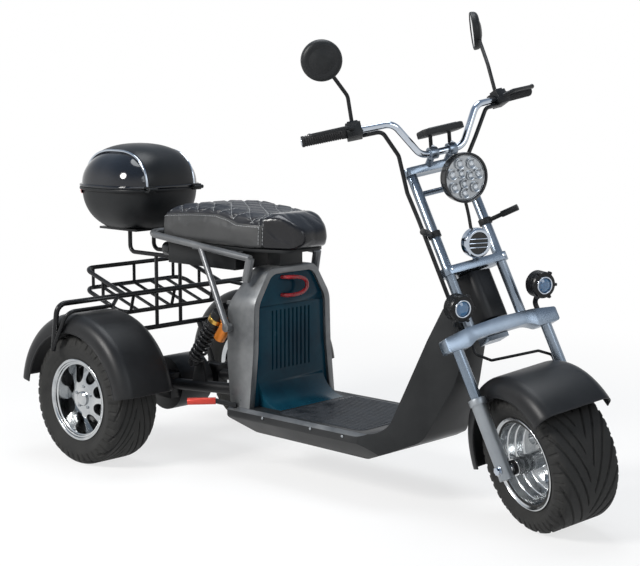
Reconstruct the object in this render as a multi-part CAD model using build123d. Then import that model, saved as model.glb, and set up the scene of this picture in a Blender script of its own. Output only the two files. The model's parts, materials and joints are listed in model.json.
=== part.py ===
from build123d import *
import math
import os

# A three-wheeled electric scooter: one steered wheel in front, two wheels behind, and a
# step-through body with a seat, a tube basket and a top box at the back.
# Millimetres and degrees. While it is drawn, X runs forward from the rear axle, Y to the
# left and Z up from the ground. The finished pieces are moved so that the origin lies on
# the ground under the middle of the whole.

# Fits
SEAT_GAP = 0.3
RUN_GAP = 0.3
MOVE_GAP = 6.0

# Wheels: ten-inch rims with low, wide tyres
WHEELBASE = 1650.0
REAR_TRACK = 826.0
RIM_SEAT_R = 127.0
RIM_FLANGE_H = 17.5
RIM_FLANGE_T = 5.0
RIM_WALL = 6.0
FRONT_RIM_W = 186.0
FRONT_TYRE_W = 225.0
FRONT_TYRE_SIDE = 90.0
FRONT_TREAD_W = 196.0
REAR_RIM_W = 166.0
REAR_TYRE_W = 205.0
REAR_TYRE_SIDE = 102.5
REAR_TREAD_W = 174.0
SHOULDER_R = 30.0
BULGE_H = 42.0

# Rear wheel face: slots, hub and stub shaft
REAR_DISC_T = 12.0
REAR_DISC_INSET = 34.0
REAR_SLOT_COUNT = 8
REAR_SLOT_W = 27.0
REAR_SLOT_IN_R = 74.0
REAR_SLOT_OUT_R = 98.0
REAR_HUB_R = 52.0
REAR_CAP_R = 26.0
REAR_CAP_H = 16.0
STUB_R = 17.0
STUB_IN_HOUSING = 60.0

# Front wheel: a deep dish on both sides of a thin centre
FRONT_DISC_T = 14.0
FRONT_HOLE_COUNT = 6
FRONT_HOLE_R = 17.0
FRONT_HOLE_AT_R = 82.0
FRONT_HUB_R = 34.0
FRONT_HUB_W = 84.0
AXLE_R = 12.0
SPACER_R = 19.0

# Steering, as it stands: turned to the right
RAKE = 27.7
FORK_OFFSET = 47.0
STEER_AT_REST = -22.4

# Fork, measured up the steering axis from the front axle's level
LEG_SPACING = 322.0
TUBE_SPACING = 187.0
TUBE_R = 16.0
STANCHION_R = 17.0
SLIDER_R = 23.0
SLIDER_COLLAR_R = 27.0
SLIDER_COLLAR_H = 20.0
SLIDER_TOP = 226.0
SLIDER_FOOT = -28.0
LIGHT_BAR_S = 401.0
LIGHT_BAR_W = 404.0
LIGHT_BAR_H = 44.0
LIGHT_BAR_RISE = 18.0
LIGHT_BAR_DEPTH = 46.0
MID_YOKE_S = 620.0
MID_YOKE_H = 26.0
MID_YOKE_W = 236.0
TOP_YOKE_S = 952.0
TOP_YOKE_H = 24.0
TOP_YOKE_W = 238.0
STEM_R = 14.0
HEAD_R = 36.0

# Handlebar
BAR_R = 11.0
BAR_CLAMP_N = 116.0
BAR_CLAMP_S = 978.0
BAR_LOW_HALF = 75.0
BAR_TOP_HALF = 150.0
BAR_TOP_N = 156.0
BAR_TOP_S = 1086.0
BAR_END_HALF = 407.0
BAR_END_N = 66.0
BAR_END_S = 1121.0
BAR_BEND = 45.0
GRIP_R = 17.0
GRIP_LENGTH = 132.0
CONTROL_LENGTH = 46.0
CONTROL_SIZE = 44.0

# Front lamps and instruments
HEADLIGHT_R = 76.0
HEADLIGHT_DEPTH = 74.0
HEADLIGHT_N = 189.0
HEADLIGHT_S = 857.0
LAMP_BAR_UP = 20.0
LAMP_BAR_R = 9.0
LENS_T = 9.0
BEZEL = 5.0
HORN_R = 46.0
HORN_DEPTH = 48.0
HORN_N = 116.0
HORN_S = 668.0
SIGNAL_S = 743.0
CLAMP_T = 5.0
SIGNAL_ARM_R = 7.0
SIGNAL_LAMP_R = 10.0
SPOT_R = 40.0
SPOT_DEPTH = 62.0
SPOT_N = 138.0
SPOT_S = 484.0
SPOT_HALF = 148.0
DISPLAY_W = 150.0
DISPLAY_L = 66.0
DISPLAY_H = 20.0
DISPLAY_N = 150.0
DISPLAY_S = 1034.0
MIRROR_R = 62.0
MIRROR_T = 24.0
STALK_R = 6.0

# Cables
LOOM_R = 6.5
LOOM_BEND = 26.0
LOOM_LEAD = 60.0
HOSE_R = 4.5
HOSE_BEND = 14.0

# Fenders, as turned sheets
FENDER_T = 4.0
FENDER_SHOULDER = 46.0
REAR_FENDER_R = 302.0
REAR_FENDER_W = 236.0
REAR_FENDER_SKIRT = 62.0
REAR_FENDER_FROM = 9.0
REAR_FENDER_TO = 171.0
FRONT_FENDER_R = 270.0
FRONT_FENDER_W = 262.0
FRONT_FENDER_SKIRT = 56.0
FENDER_LUG_H = 40.0
FRONT_FENDER_FROM = 47.0
FRONT_FENDER_TO = 197.0

# Body: floor, belly and leg shield
FLOOR_Z = 235.0
FLOOR_HALF = 225.0
BELLY_Z = 140.0
BELLY_HALF = 165.0
SIDE_BAND_H = 34.0
EDGE_BAND = 12.0
TUB_REAR = 470.0
FLOOR_FRONT = 1143.0
NECK_X = 1290.0
NECK_Z = 640.0
NECK_RUN = 32.0
NECK_FALL = 28.0
NOSE_X = 1358.0
MAT_T = 3.0
MAT_MARGIN = 32.0
MAT_CORNER = 30.0

# Seat pillar and what it holds
PILLAR_FRONT = 565.0
PILLAR_TOP = 707.0
PILLAR_HALF = 190.0
PILLAR_RIM = 24.0
PANEL_INSET = 10.0
PANEL_T = 18.0
RIB_COUNT = 10
RIB_GROOVE_W = 8.0
RIB_GROOVE_D = 5.0
RIB_PITCH = 20.0
RIB_LOW = 352.0
RIB_HIGH = 556.0
BATTERY_W = 270.0
BATTERY_H = 330.0
BATTERY_D = 78.0
BATTERY_LOW = 300.0

# Seat and its carrier
SEAT_REAR = 12.0
SEAT_NOSE = 692.0
SEAT_HALF = 150.0
SEAT_BASE_Z = 768.0
PAN_T = 10.0
CONTROLLER_L = 350.0
CONTROLLER_W = 220.0
CONTROLLER_H = 76.0
CONTROLLER_REAR = 45.0
TAIL_LAMP_R = 24.0
TAIL_LAMP_L = 34.0
RAIL_R = 12.0
RAIL_HALF = 165.0
RAIL_REAR = -8.0
RAIL_REAR_Z = 789.0
RAIL_FRONT = 525.0
RAIL_FRONT_Z = 739.0

# Basket, tilted down to the front
BASKET_R = 8.0
BASKET_HALF = 237.0
BASKET_REAR = -277.0
BASKET_FRONT = -45.0
BASKET_REAR_Z = 642.0
BASKET_FRONT_Z = 566.0
BASKET_DEPTH = 75.0
BASKET_CORNER = 40.0
BASKET_BARS = 5
BASKET_BAR_R = 6.0
GUARD_R = 9.5
GUARD_LOW_Z = 400.0
GUARD_BEND = 34.0
GUARD_BRACE_R = 7.0
GUARD_BRACE_X = 8.0
POST_R = 7.0
CROSS_R = 9.0
CROSS_Z = 425.0
CROSS_HALF = 215.0
STRAP_W = 26.0
STRAP_T = 6.0
STRAP_HALF = 150.0
CARRIER_R = 8.0
PLATE_L = 210.0
PLATE_W = 220.0
PLATE_T = 8.0

# Top box
BOX_X = -237.0
BOX_L = 392.0
BOX_W = 404.0
BOX_CORNER = 110.0
BOX_FLANGE_Z = 938.0
BOX_BASE_Z = 786.0
BOX_LID_H = 154.0
LID_FILLET = 100.0
BOX_WALL = 4.0
BOX_TAPER = 40.0
BOX_FOOT_R = 24.0
BOX_FLANGE = 9.0
BOX_FLANGE_H = 11.0
HINGE_R = 7.0
HINGE_PAST_CORNER = 20.0
LID_BAND_HALF = 118.0
LID_BAND_H = 5.0

# Rear axle and springing
HOUSING_R = 33.0
MOTOR_R = 98.0
MOTOR_W = 150.0
HOUSING_END = 262.0
ARM_R = 20.0
ARM_HALF = 118.0
PIVOT_X = 425.0
PIVOT_Z = 268.0
SHOCK_HALF = 152.0
SHOCK_TOP_X = 372.0
SHOCK_TOP_Z = 556.0
SHOCK_FOOT_X = 222.0
SHOCK_FOOT_Z = 345.0
SHOCK_PIN_R = 8.0

# Footpegs
PEG_R = 12.0
PEG_BACK = 70.0
PEG_OUT = 66.0
PEG_ARM_R = 9.0
PEG_ARM_ON = 34.0

os.makedirs("parts", exist_ok=True)

# Values that follow from the sizes above
FRONT_TYRE_R = RIM_SEAT_R + FRONT_TYRE_SIDE
REAR_TYRE_R = RIM_SEAT_R + REAR_TYRE_SIDE
REAR_HALF = REAR_TRACK / 2
HINGE_HALF = BOX_W / 2 - BOX_CORNER + HINGE_PAST_CORNER
PILLAR_FOOT_HALF = FLOOR_HALF - EDGE_BAND - 1.0
rake = math.radians(RAKE)
steer = math.radians(STEER_AT_REST)

# The turned front wheel leans, so it stands on a tyre shoulder
lean = math.asin(abs(math.sin(rake) * math.sin(steer)))
shoulder_turn = math.atan2(BULGE_H, (FRONT_TYRE_W - FRONT_TREAD_W) / 2)
shoulder_y = FRONT_TREAD_W / 2 - SHOULDER_R * math.tan(shoulder_turn / 2)
stand_height = (FRONT_TYRE_R - SHOULDER_R) * math.cos(lean) + shoulder_y * math.sin(lean) + SHOULDER_R
FRONT_AXLE_Z = stand_height + FORK_OFFSET * math.sin(rake) * (1 - math.cos(steer))

# Fork frame: X square to the steering axis and forward, Y left, Z up the axis
fork = Plane(
    origin=(
        WHEELBASE - FORK_OFFSET * math.cos(rake),
        0,
        FRONT_AXLE_Z - FORK_OFFSET * math.sin(rake),
    ),
    x_dir=(math.cos(rake), 0, math.sin(rake)),
    z_dir=(-math.sin(rake), 0, math.cos(rake)),
)
steered = fork.location * Rot(0, 0, STEER_AT_REST)

pieces = {}


def outline(rows):
    # A closed face from rows of two coordinates and a corner radius
    corners = [(a, b) for a, b, radius in rows]
    radii = [radius for a, b, radius in rows]
    return make_face(FilletPolyline(*corners, radius=radii, close=True))


def mirrored(rows):
    # Rows given for one side, completed with the other side in reverse order
    return rows + [(-a, b, radius) for a, b, radius in reversed(rows)]


def rod(points, radius, bend=0.0):
    # A round bar along straight runs joined by arcs
    path = FilletPolyline(*points, radius=bend) if len(points) > 2 else Line(*points)
    return sweep(Plane(origin=path @ 0, z_dir=path % 0) * Circle(radius), path=path)


def across(x, z, radius, half):
    # A round bar across the vehicle
    return rod([(x, -half, z), (x, half, z)], radius)


def both_sides(shape):
    return shape + mirror(shape, about=Plane.XZ)


def tyre(width, side, tread, rim_width):
    outer = RIM_SEAT_R + side
    bead = rim_width / 2 - SEAT_GAP
    rows = [
        (RIM_SEAT_R + SEAT_GAP, bead, 0),
        (RIM_SEAT_R + RIM_FLANGE_H, bead, 5),
        (outer - BULGE_H, width / 2, 26),
        (outer, tread / 2, SHOULDER_R),
    ]
    section = outline(rows + [(a, -b, radius) for a, b, radius in reversed(rows)])
    return revolve(section, axis=Axis.Y)


def rim_barrel(rim_width):
    inner = RIM_SEAT_R - RIM_WALL
    lip = RIM_SEAT_R + RIM_FLANGE_H
    edge = rim_width / 2 + RIM_FLANGE_T
    rows = [
        (inner, edge, 0),
        (lip, edge, 2),
        (lip, rim_width / 2, 0),
        (RIM_SEAT_R, rim_width / 2, 0),
    ]
    section = outline(rows + [(a, -b, radius) for a, b, radius in reversed(rows)])
    return revolve(section, axis=Axis.Y)


def disc(radius, y_from, y_to):
    # A round plate or boss on the Y axis
    return Pos(0, (y_from + y_to) / 2, 0) * Rot(90, 0, 0) * Cylinder(radius, abs(y_to - y_from))


def ring_of(face, radius, count):
    # Copies of a face in a circle round the Y axis
    return Plane.XZ * (Sketch() + [place * face for place in PolarLocations(radius, count)])


def fender(crown, width, skirt, start, stop):
    # Section of the sheet, turned about the axle from the front edge to the rear edge
    half = width / 2
    rows = [
        (crown - skirt, half, 0),
        (crown, half, FENDER_SHOULDER),
    ]
    inner_rows = [
        (crown - skirt, half - FENDER_T, 0),
        (crown - FENDER_T, half - FENDER_T, FENDER_SHOULDER - FENDER_T),
    ]
    outer_face = outline(rows + [(a, -b, radius) for a, b, radius in reversed(rows)])
    inner_face = outline(inner_rows + [(a, -b, radius) for a, b, radius in reversed(inner_rows)])
    sheet = revolve(outer_face - inner_face, axis=-Axis.Y, revolution_arc=stop - start)
    return Rot(0, -start, 0) * sheet


# Rear wheels: tyre, and rim with its slotted face, hub and stub shaft
rear_edge = REAR_RIM_W / 2 + RIM_FLANGE_T
face_out = rear_edge - REAR_DISC_INSET
face_in = face_out - REAR_DISC_T
stub_end = HOUSING_END - STUB_IN_HOUSING - REAR_HALF
rear_face = disc(RIM_SEAT_R - RIM_WALL / 2, face_in, face_out)
slot = SlotCenterToCenter(REAR_SLOT_OUT_R - REAR_SLOT_IN_R, REAR_SLOT_W)
slots = ring_of(slot, (REAR_SLOT_IN_R + REAR_SLOT_OUT_R) / 2, REAR_SLOT_COUNT)
rear_face -= extrude(slots, amount=REAR_RIM_W, both=True)
rear_rim = rim_barrel(REAR_RIM_W) + rear_face
rear_rim += disc(REAR_HUB_R, -REAR_RIM_W / 4, face_out + 4)
rear_rim += disc(REAR_CAP_R, face_out, face_out + REAR_CAP_H)
rear_rim += disc(STUB_R, stub_end, face_in)
left_wheel = Pos(0, REAR_HALF, REAR_TYRE_R)
rear_tyre = tyre(REAR_TYRE_W, REAR_TYRE_SIDE, REAR_TREAD_W, REAR_RIM_W)
pieces["tyre_rear_left"] = left_wheel * rear_tyre
pieces["rim_rear_left"] = left_wheel * rear_rim
pieces["tyre_rear_right"] = mirror(pieces["tyre_rear_left"], about=Plane.XZ)
pieces["rim_rear_right"] = mirror(pieces["rim_rear_left"], about=Plane.XZ)

# Front wheel on its axle
wheel_place = steered * Pos(FORK_OFFSET, 0, 0)
front_rim = rim_barrel(FRONT_RIM_W) + disc(RIM_SEAT_R - RIM_WALL / 2, -FRONT_DISC_T / 2, FRONT_DISC_T / 2)
front_rim += disc(FRONT_HUB_R, -FRONT_HUB_W / 2, FRONT_HUB_W / 2)
front_rim -= disc(AXLE_R + RUN_GAP, -FRONT_HUB_W, FRONT_HUB_W)
front_holes = ring_of(Circle(FRONT_HOLE_R), FRONT_HOLE_AT_R, FRONT_HOLE_COUNT)
front_rim -= extrude(front_holes, amount=FRONT_DISC_T, both=True)
pieces["tyre_front"] = wheel_place * tyre(FRONT_TYRE_W, FRONT_TYRE_SIDE, FRONT_TREAD_W, FRONT_RIM_W)
pieces["rim_front"] = wheel_place * front_rim

# Fork legs, axle and spacers
leg_y = LEG_SPACING / 2
spacer_from = FRONT_HUB_W / 2 + 1.0
spacer_to = leg_y - SLIDER_R - SEAT_GAP
axle = disc(AXLE_R, -leg_y - SLIDER_R, leg_y + SLIDER_R)
axle += both_sides(disc(SPACER_R, spacer_from, spacer_to))
pieces["front_axle"] = wheel_place * axle
slider = Pos(FORK_OFFSET, leg_y, 0) * Cylinder(
    SLIDER_R, SLIDER_TOP - SLIDER_FOOT, align=(Align.CENTER, Align.CENTER, Align.MIN)
).moved(Pos(0, 0, SLIDER_FOOT))
collar = Cylinder(SLIDER_COLLAR_R, SLIDER_COLLAR_H, align=(Align.CENTER, Align.CENTER, Align.MAX))
slider += Pos(FORK_OFFSET, leg_y, SLIDER_TOP) * collar
slider -= Pos(FORK_OFFSET, 0, 0) * disc(AXLE_R + SEAT_GAP, 0, 2 * leg_y)
stanchion_foot = SLIDER_TOP - 70.0
bore_length = SLIDER_TOP - stanchion_foot
slider -= Pos(FORK_OFFSET, leg_y, stanchion_foot) * Cylinder(
    STANCHION_R + SEAT_GAP, bore_length * 2, align=(Align.CENTER, Align.CENTER, Align.MIN)
)
pieces["slider_left"] = steered * slider
pieces["slider_right"] = steered * mirror(slider, about=Plane.XZ)

# Lower yoke: a wide arched bar that clamps the legs, with a lug for the stem
half_bar = LIGHT_BAR_W / 2
bar_rows = [
    (0, LIGHT_BAR_H / 2 + LIGHT_BAR_RISE, 0),
    (half_bar * 0.6, LIGHT_BAR_H / 2 + LIGHT_BAR_RISE * 0.7, 80),
    (half_bar, LIGHT_BAR_H / 2, 8),
    (half_bar, -LIGHT_BAR_H / 2, 8),
    (half_bar * 0.62, -LIGHT_BAR_H / 2, 20),
    (half_bar * 0.46, -LIGHT_BAR_H / 2 + LIGHT_BAR_RISE, 60),
]
bar_rows = bar_rows + [(-a, b, radius) for a, b, radius in reversed(bar_rows) if a > 0]
arch_bar = extrude(Plane.YZ * outline(bar_rows), amount=LIGHT_BAR_DEPTH / 2, both=True)
stanchion_top = LIGHT_BAR_H / 2
light_bar = Pos(FORK_OFFSET, 0, LIGHT_BAR_S) * arch_bar
leg_length = LIGHT_BAR_S - stanchion_foot
light_bar += both_sides(
    Pos(FORK_OFFSET, leg_y, stanchion_foot)
    * Cylinder(STANCHION_R, leg_length, align=(Align.CENTER, Align.CENTER, Align.MIN))
)
lug_rear = -HEAD_R
lug_front = FORK_OFFSET - LIGHT_BAR_DEPTH / 2 + 4
lug_half = HEAD_R
lug_low = LIGHT_BAR_S - LIGHT_BAR_H * 0.4
lug_high = LIGHT_BAR_S + LIGHT_BAR_H / 2 + LIGHT_BAR_RISE
light_bar += Pos((lug_rear + lug_front) / 2, 0, lug_low) * Box(
    lug_front - lug_rear, 2 * lug_half, lug_high - lug_low, align=(Align.CENTER, Align.CENTER, Align.MIN)
)
light_bar -= Pos(0, 0, LIGHT_BAR_S) * Cylinder(STEM_R + SEAT_GAP, 3 * LIGHT_BAR_H)
tube_foot = LIGHT_BAR_S + LIGHT_BAR_H / 2 - 2
tube_y = TUBE_SPACING / 2
tube_socket = Cylinder(TUBE_R + SEAT_GAP, 2 * LIGHT_BAR_H, align=(Align.CENTER, Align.CENTER, Align.MIN))
light_bar -= both_sides(Pos(FORK_OFFSET, tube_y, tube_foot) * tube_socket)
pieces["light_bar"] = steered * light_bar

# Upper fork: two tubes, the middle yoke with the stem, and a cross bar for the headlight
tube_top = TOP_YOKE_S + TOP_YOKE_H / 2 - 4
tube_length = tube_top - tube_foot - SEAT_GAP
upper = both_sides(
    Pos(FORK_OFFSET, tube_y, tube_foot + SEAT_GAP)
    * Cylinder(TUBE_R, tube_length, align=(Align.CENTER, Align.CENTER, Align.MIN))
)
yoke_rows = [
    (FORK_OFFSET + TUBE_R + 10, MID_YOKE_W / 2 - 4, 18),
    (FORK_OFFSET - TUBE_R - 10, MID_YOKE_W / 2 - 4, 18),
    (-HEAD_R, HEAD_R, 20),
]
yoke_face = outline(yoke_rows + [(a, -b, radius) for a, b, radius in reversed(yoke_rows)])
upper += Pos(0, 0, MID_YOKE_S) * extrude(yoke_face, amount=MID_YOKE_H / 2, both=True)
stem_foot = lug_low
upper += Pos(0, 0, stem_foot) * Cylinder(
    STEM_R, MID_YOKE_S - stem_foot, align=(Align.CENTER, Align.CENTER, Align.MIN)
)
lamp_bar_s = HEADLIGHT_S + LAMP_BAR_UP
upper += rod([(FORK_OFFSET, -tube_y, lamp_bar_s), (FORK_OFFSET, tube_y, lamp_bar_s)], LAMP_BAR_R)
level = Rot(0, RAKE, 0)
lamp_back = Vector(HEADLIGHT_N, 0, HEADLIGHT_S) - Vector(math.cos(rake), 0, -math.sin(rake)) * (
    HEADLIGHT_DEPTH + SEAT_GAP
)
upper += rod([(FORK_OFFSET, 0, lamp_bar_s), (lamp_back.X + 12, 0, lamp_back.Z)], LAMP_BAR_R)
horn_back_n = HORN_N - HORN_DEPTH * math.cos(rake)
horn_back_s = HORN_S + HORN_DEPTH * math.sin(rake)
upper += rod([(FORK_OFFSET + 12, 0, MID_YOKE_S), (horn_back_n + 8, 0, horn_back_s)], 7)
lamp_at = Pos(HEADLIGHT_N, 0, HEADLIGHT_S) * level * Rot(0, 90, 0)
horn_at = Pos(HORN_N, 0, HORN_S) * level * Rot(0, 90, 0)
for place, depth, radius in ((lamp_at, HEADLIGHT_DEPTH, HEADLIGHT_R), (horn_at, HORN_DEPTH, HORN_R)):
    upper -= place * Pos(0, 0, -depth - SEAT_GAP) * Cylinder(
        radius, depth, align=(Align.CENTER, Align.CENTER, Align.MIN)
    )
pieces["fork_upper"] = steered * upper

# Top yoke with its tube caps and the two bar clamps
top_rows = [
    (FORK_OFFSET + TUBE_R + 8, TOP_YOKE_W / 2, 20),
    (FORK_OFFSET - TUBE_R - 8, TOP_YOKE_W / 2, 20),
]
top_face = outline(top_rows + [(a, -b, radius) for a, b, radius in reversed(top_rows)])
top_yoke = Pos(0, 0, TOP_YOKE_S) * extrude(top_face, amount=TOP_YOKE_H / 2, both=True)
cap_cut = Cylinder(TUBE_R + SEAT_GAP, 2 * TOP_YOKE_H, align=(Align.CENTER, Align.CENTER, Align.MAX))
top_yoke -= both_sides(Pos(FORK_OFFSET, tube_y, tube_top + SEAT_GAP) * cap_cut)
clamp_y = 34.0
clamp_r = BAR_R + 8
riser = rod([(FORK_OFFSET, clamp_y, TOP_YOKE_S), (BAR_CLAMP_N, clamp_y, BAR_CLAMP_S)], 11)
riser += Pos(BAR_CLAMP_N, 0, BAR_CLAMP_S) * disc(clamp_r, clamp_y - 13, clamp_y + 13)
top_yoke += both_sides(riser)
top_yoke -= Pos(BAR_CLAMP_N, 0, BAR_CLAMP_S) * disc(BAR_R + SEAT_GAP, -2 * clamp_y, 2 * clamp_y)
pieces["top_yoke"] = steered * top_yoke

# Handlebar with swept grips
bar_half = [
    (BAR_CLAMP_N, BAR_LOW_HALF, BAR_CLAMP_S),
    (BAR_TOP_N, BAR_TOP_HALF, BAR_TOP_S),
    (BAR_END_N, BAR_END_HALF, BAR_END_S),
]
bar_points = [(n, -y, s) for n, y, s in reversed(bar_half)] + bar_half
pieces["handlebar"] = steered * rod(bar_points, BAR_R, BAR_BEND)
grip_dir = Vector(*bar_half[2]) - Vector(*bar_half[1])
grip_line = Plane(origin=bar_half[2], x_dir=(1, 0, 0), z_dir=grip_dir)
grip_end = Cylinder(GRIP_R, 6, align=(Align.CENTER, Align.CENTER, Align.MIN)).moved(Pos(0, 0, SEAT_GAP))
grip = Cylinder(GRIP_R, GRIP_LENGTH, align=(Align.CENTER, Align.CENTER, Align.MAX)).moved(Pos(0, 0, 2))
bar_bore = Cylinder(BAR_R + SEAT_GAP, 4 * GRIP_LENGTH, align=(Align.CENTER, Align.CENTER, Align.MAX))
grip = grip + grip_end - bar_bore.moved(Pos(0, 0, SEAT_GAP))
pieces["grip_left"] = steered * (grip_line.location * grip)
pieces["grip_right"] = steered * mirror(grip_line.location * grip, about=Plane.XZ)

# Hand controls: a clamp block on the bar and a lever in front of the grip
control_at = 2 - GRIP_LENGTH - SEAT_GAP - CONTROL_LENGTH / 2
control = Pos(0, 0, control_at) * Box(CONTROL_SIZE, CONTROL_SIZE, CONTROL_LENGTH)
lever_reach = CONTROL_SIZE / 2 + 22
lever = rod(
    [
        (CONTROL_SIZE / 2 - 6, 0, control_at),
        (lever_reach, 0, control_at + 26),
        (lever_reach - 6, 0, -18),
    ],
    6,
    14,
)
control = control + lever - bar_bore
pieces["control_left"] = steered * (grip_line.location * control)
pieces["control_right"] = steered * mirror(grip_line.location * control, about=Plane.XZ)

# Mirrors, each set by hand: stalk points and the way the back of the head looks
control_top = grip_line.location * Pos(0, -CONTROL_SIZE / 2 - SEAT_GAP, control_at)
foot = control_top.position
mirror_rows = [
    ("mirror_left", 1, (118, 12, 96), (30, 78, 250), 62.0),
    ("mirror_right", -1, (150, -2, 80), (225, 78, 178), -24.0),
]
for name, side, knee, head, look in mirror_rows:
    head_at = (head[0], side * (foot.Y + head[1]), foot.Z + head[2])
    knee_at = (knee[0], side * (foot.Y + knee[1]), foot.Z + knee[2])
    foot_at = (foot.X, side * foot.Y, foot.Z)
    stalk = rod([foot_at, knee_at, head_at], STALK_R, 30)
    shell = Cylinder(MIRROR_R, MIRROR_T)
    shell = fillet(shell.faces().sort_by(Axis.Z)[-1].edges(), MIRROR_T * 0.7)
    head_place = Pos(*head_at) * level * Rot(0, 0, look) * Rot(0, 90, 0)
    pieces[name] = steered * (stalk + head_place * shell) - pieces[name.replace("mirror", "control")]

# Headlight: bucket with a bezel, and its lens
bucket_rows = [
    (0, -HEADLIGHT_DEPTH, 0),
    (HEADLIGHT_R * 0.55, -HEADLIGHT_DEPTH, 14),
    (HEADLIGHT_R, -HEADLIGHT_DEPTH * 0.35, 20),
    (HEADLIGHT_R, 0, 2),
    (HEADLIGHT_R - BEZEL, 0, 0),
    (HEADLIGHT_R - BEZEL, -LENS_T, 0),
    (0, -LENS_T, 0),
]
bucket = revolve(Plane.XZ * outline(bucket_rows), axis=Axis.Z)
pieces["headlight"] = steered * (lamp_at * bucket)
lens_rows = [
    (0, SEAT_GAP - LENS_T, 0),
    (HEADLIGHT_R - BEZEL - SEAT_GAP, SEAT_GAP - LENS_T, 0),
    (HEADLIGHT_R - BEZEL - SEAT_GAP, 0, 0),
    (HEADLIGHT_R * 0.5, 5, 60),
    (0, 6, 0),
]
pieces["headlight_lens"] = steered * (lamp_at * revolve(Plane.XZ * outline(lens_rows), axis=Axis.Z))

# Horn: a shallow drum with a domed cover
horn_rows = [
    (0, -HORN_DEPTH, 0),
    (HORN_R * 0.6, -HORN_DEPTH, 6),
    (HORN_R, -HORN_DEPTH * 0.55, 8),
    (HORN_R, -8, 6),
    (HORN_R * 0.8, 0, 4),
    (0, 0, 0),
]
pieces["horn"] = steered * (horn_at * revolve(Plane.XZ * outline(horn_rows), axis=Axis.Z))

# Turn signals: a clamp ring on each tube and a slim arm out to the lamp
signal = Pos(FORK_OFFSET, tube_y, SIGNAL_S) * Cylinder(TUBE_R + CLAMP_T, 18)
signal += rod([(FORK_OFFSET + 10, tube_y + 14, SIGNAL_S), (FORK_OFFSET + 55, tube_y + 52.5, SIGNAL_S)], SIGNAL_ARM_R)
signal += rod(
    [(FORK_OFFSET + 41, tube_y + 39.5, SIGNAL_S), (FORK_OFFSET + 81, tube_y + 78.5, SIGNAL_S)], SIGNAL_LAMP_R
)
signal -= Pos(FORK_OFFSET, tube_y, SIGNAL_S) * Cylinder(TUBE_R + SEAT_GAP, 40)
pieces["turn_signal_left"] = steered * signal
pieces["turn_signal_right"] = steered * mirror(signal, about=Plane.XZ)

# Spot lamps: finned drums on posts that stand on the lower yoke
spot_rows = [
    (0, -SPOT_DEPTH, 0),
    (SPOT_R * 0.62, -SPOT_DEPTH, 6),
    (SPOT_R, -SPOT_DEPTH * 0.5, 6),
    (SPOT_R, 0, 2),
    (SPOT_R * 0.6, 0, 0),
    (SPOT_R * 0.5, 5, 12),
    (0, 7, 0),
]
spot = Pos(SPOT_N, SPOT_HALF, SPOT_S) * level * Rot(0, 90, 0) * revolve(
    Plane.XZ * outline(spot_rows), axis=Axis.Z
)
bar_top_s = LIGHT_BAR_S + LIGHT_BAR_H / 2 + LIGHT_BAR_RISE * 0.5
spot += rod(
    [
        (FORK_OFFSET + 8, SPOT_HALF, bar_top_s - 10),
        (FORK_OFFSET + 8, SPOT_HALF, SPOT_S - 30),
        (SPOT_N - 34, SPOT_HALF, SPOT_S - 2),
    ],
    8,
    16,
)
spot -= Pos(FORK_OFFSET, 0, LIGHT_BAR_S) * arch_bar
pieces["spot_lamp_left"] = steered * spot
pieces["spot_lamp_right"] = steered * mirror(spot, about=Plane.XZ)

# Display on two stalks from the bar clamps
display_at = Pos(DISPLAY_N, 0, DISPLAY_S) * level * Rot(0, -18, 0)
display = extrude(RectangleRounded(DISPLAY_L, DISPLAY_W, 22), amount=DISPLAY_H / 2, both=True)
display = fillet(display.faces().sort_by(Axis.Z)[-1].edges(), 6)
display = display_at * display
display_stalk = rod(
    [
        (BAR_CLAMP_N + 4, clamp_y, BAR_CLAMP_S + clamp_r + SEAT_GAP - 0.5),
        (DISPLAY_N - 6, clamp_y, DISPLAY_S - 2),
    ],
    6,
)
display += both_sides(display_stalk)
display -= Pos(BAR_CLAMP_N, 0, BAR_CLAMP_S) * disc(clamp_r + SEAT_GAP, -2 * clamp_y, 2 * clamp_y)
pieces["display"] = steered * display

# Front fender, carried by two lugs on the slider collars
front_sheet = fender(
    FRONT_FENDER_R, FRONT_FENDER_W, FRONT_FENDER_SKIRT, FRONT_FENDER_FROM - RAKE, FRONT_FENDER_TO - RAKE
)
lug_y = FRONT_FENDER_W / 2
fender_lug = Pos(FORK_OFFSET, lug_y + 3, SLIDER_TOP - FENDER_LUG_H / 2) * Box(22, 8, FENDER_LUG_H)
lug_cut = Pos(FORK_OFFSET, leg_y, 0) * Cylinder(SLIDER_COLLAR_R + SEAT_GAP, 3 * SLIDER_TOP)
front_fender = Pos(FORK_OFFSET, 0, 0) * front_sheet + both_sides(fender_lug) - both_sides(lug_cut)
pieces["front_fender"] = steered * front_fender

# Cables and hose: from the hand controls down the tubes, behind the lamps and to the left slider
loom_from = control_at - CONTROL_LENGTH / 2 - SEAT_GAP
loom_drop = BAR_R + LOOM_R + 1.0
loom_start = grip_line.location * Pos(0, loom_drop, loom_from)
loom_head = loom_start.position
loom_next = loom_head - grip_dir.normalized() * LOOM_LEAD
loom_y = TUBE_SPACING / 2 + TUBE_R + CLAMP_T + LOOM_R + 3.0
yoke_clear_y = TOP_YOKE_W / 2 + LOOM_R + MOVE_GAP
loom_foot = LIGHT_BAR_S + LIGHT_BAR_H / 2 + LIGHT_BAR_RISE
right_loom = rod(
    [
        tuple(loom_head),
        tuple(loom_next),
        (BAR_CLAMP_N - 20, yoke_clear_y + 6, TOP_YOKE_S + 48),
        (FORK_OFFSET + 5, yoke_clear_y, TOP_YOKE_S - 60),
        (FORK_OFFSET - 3, loom_y, SIGNAL_S + 60),
        (FORK_OFFSET - 3, loom_y, loom_foot),
    ],
    LOOM_R,
    LOOM_BEND,
)
lamp_bar_front = FORK_OFFSET + LAMP_BAR_R + LOOM_R + SEAT_GAP
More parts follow.
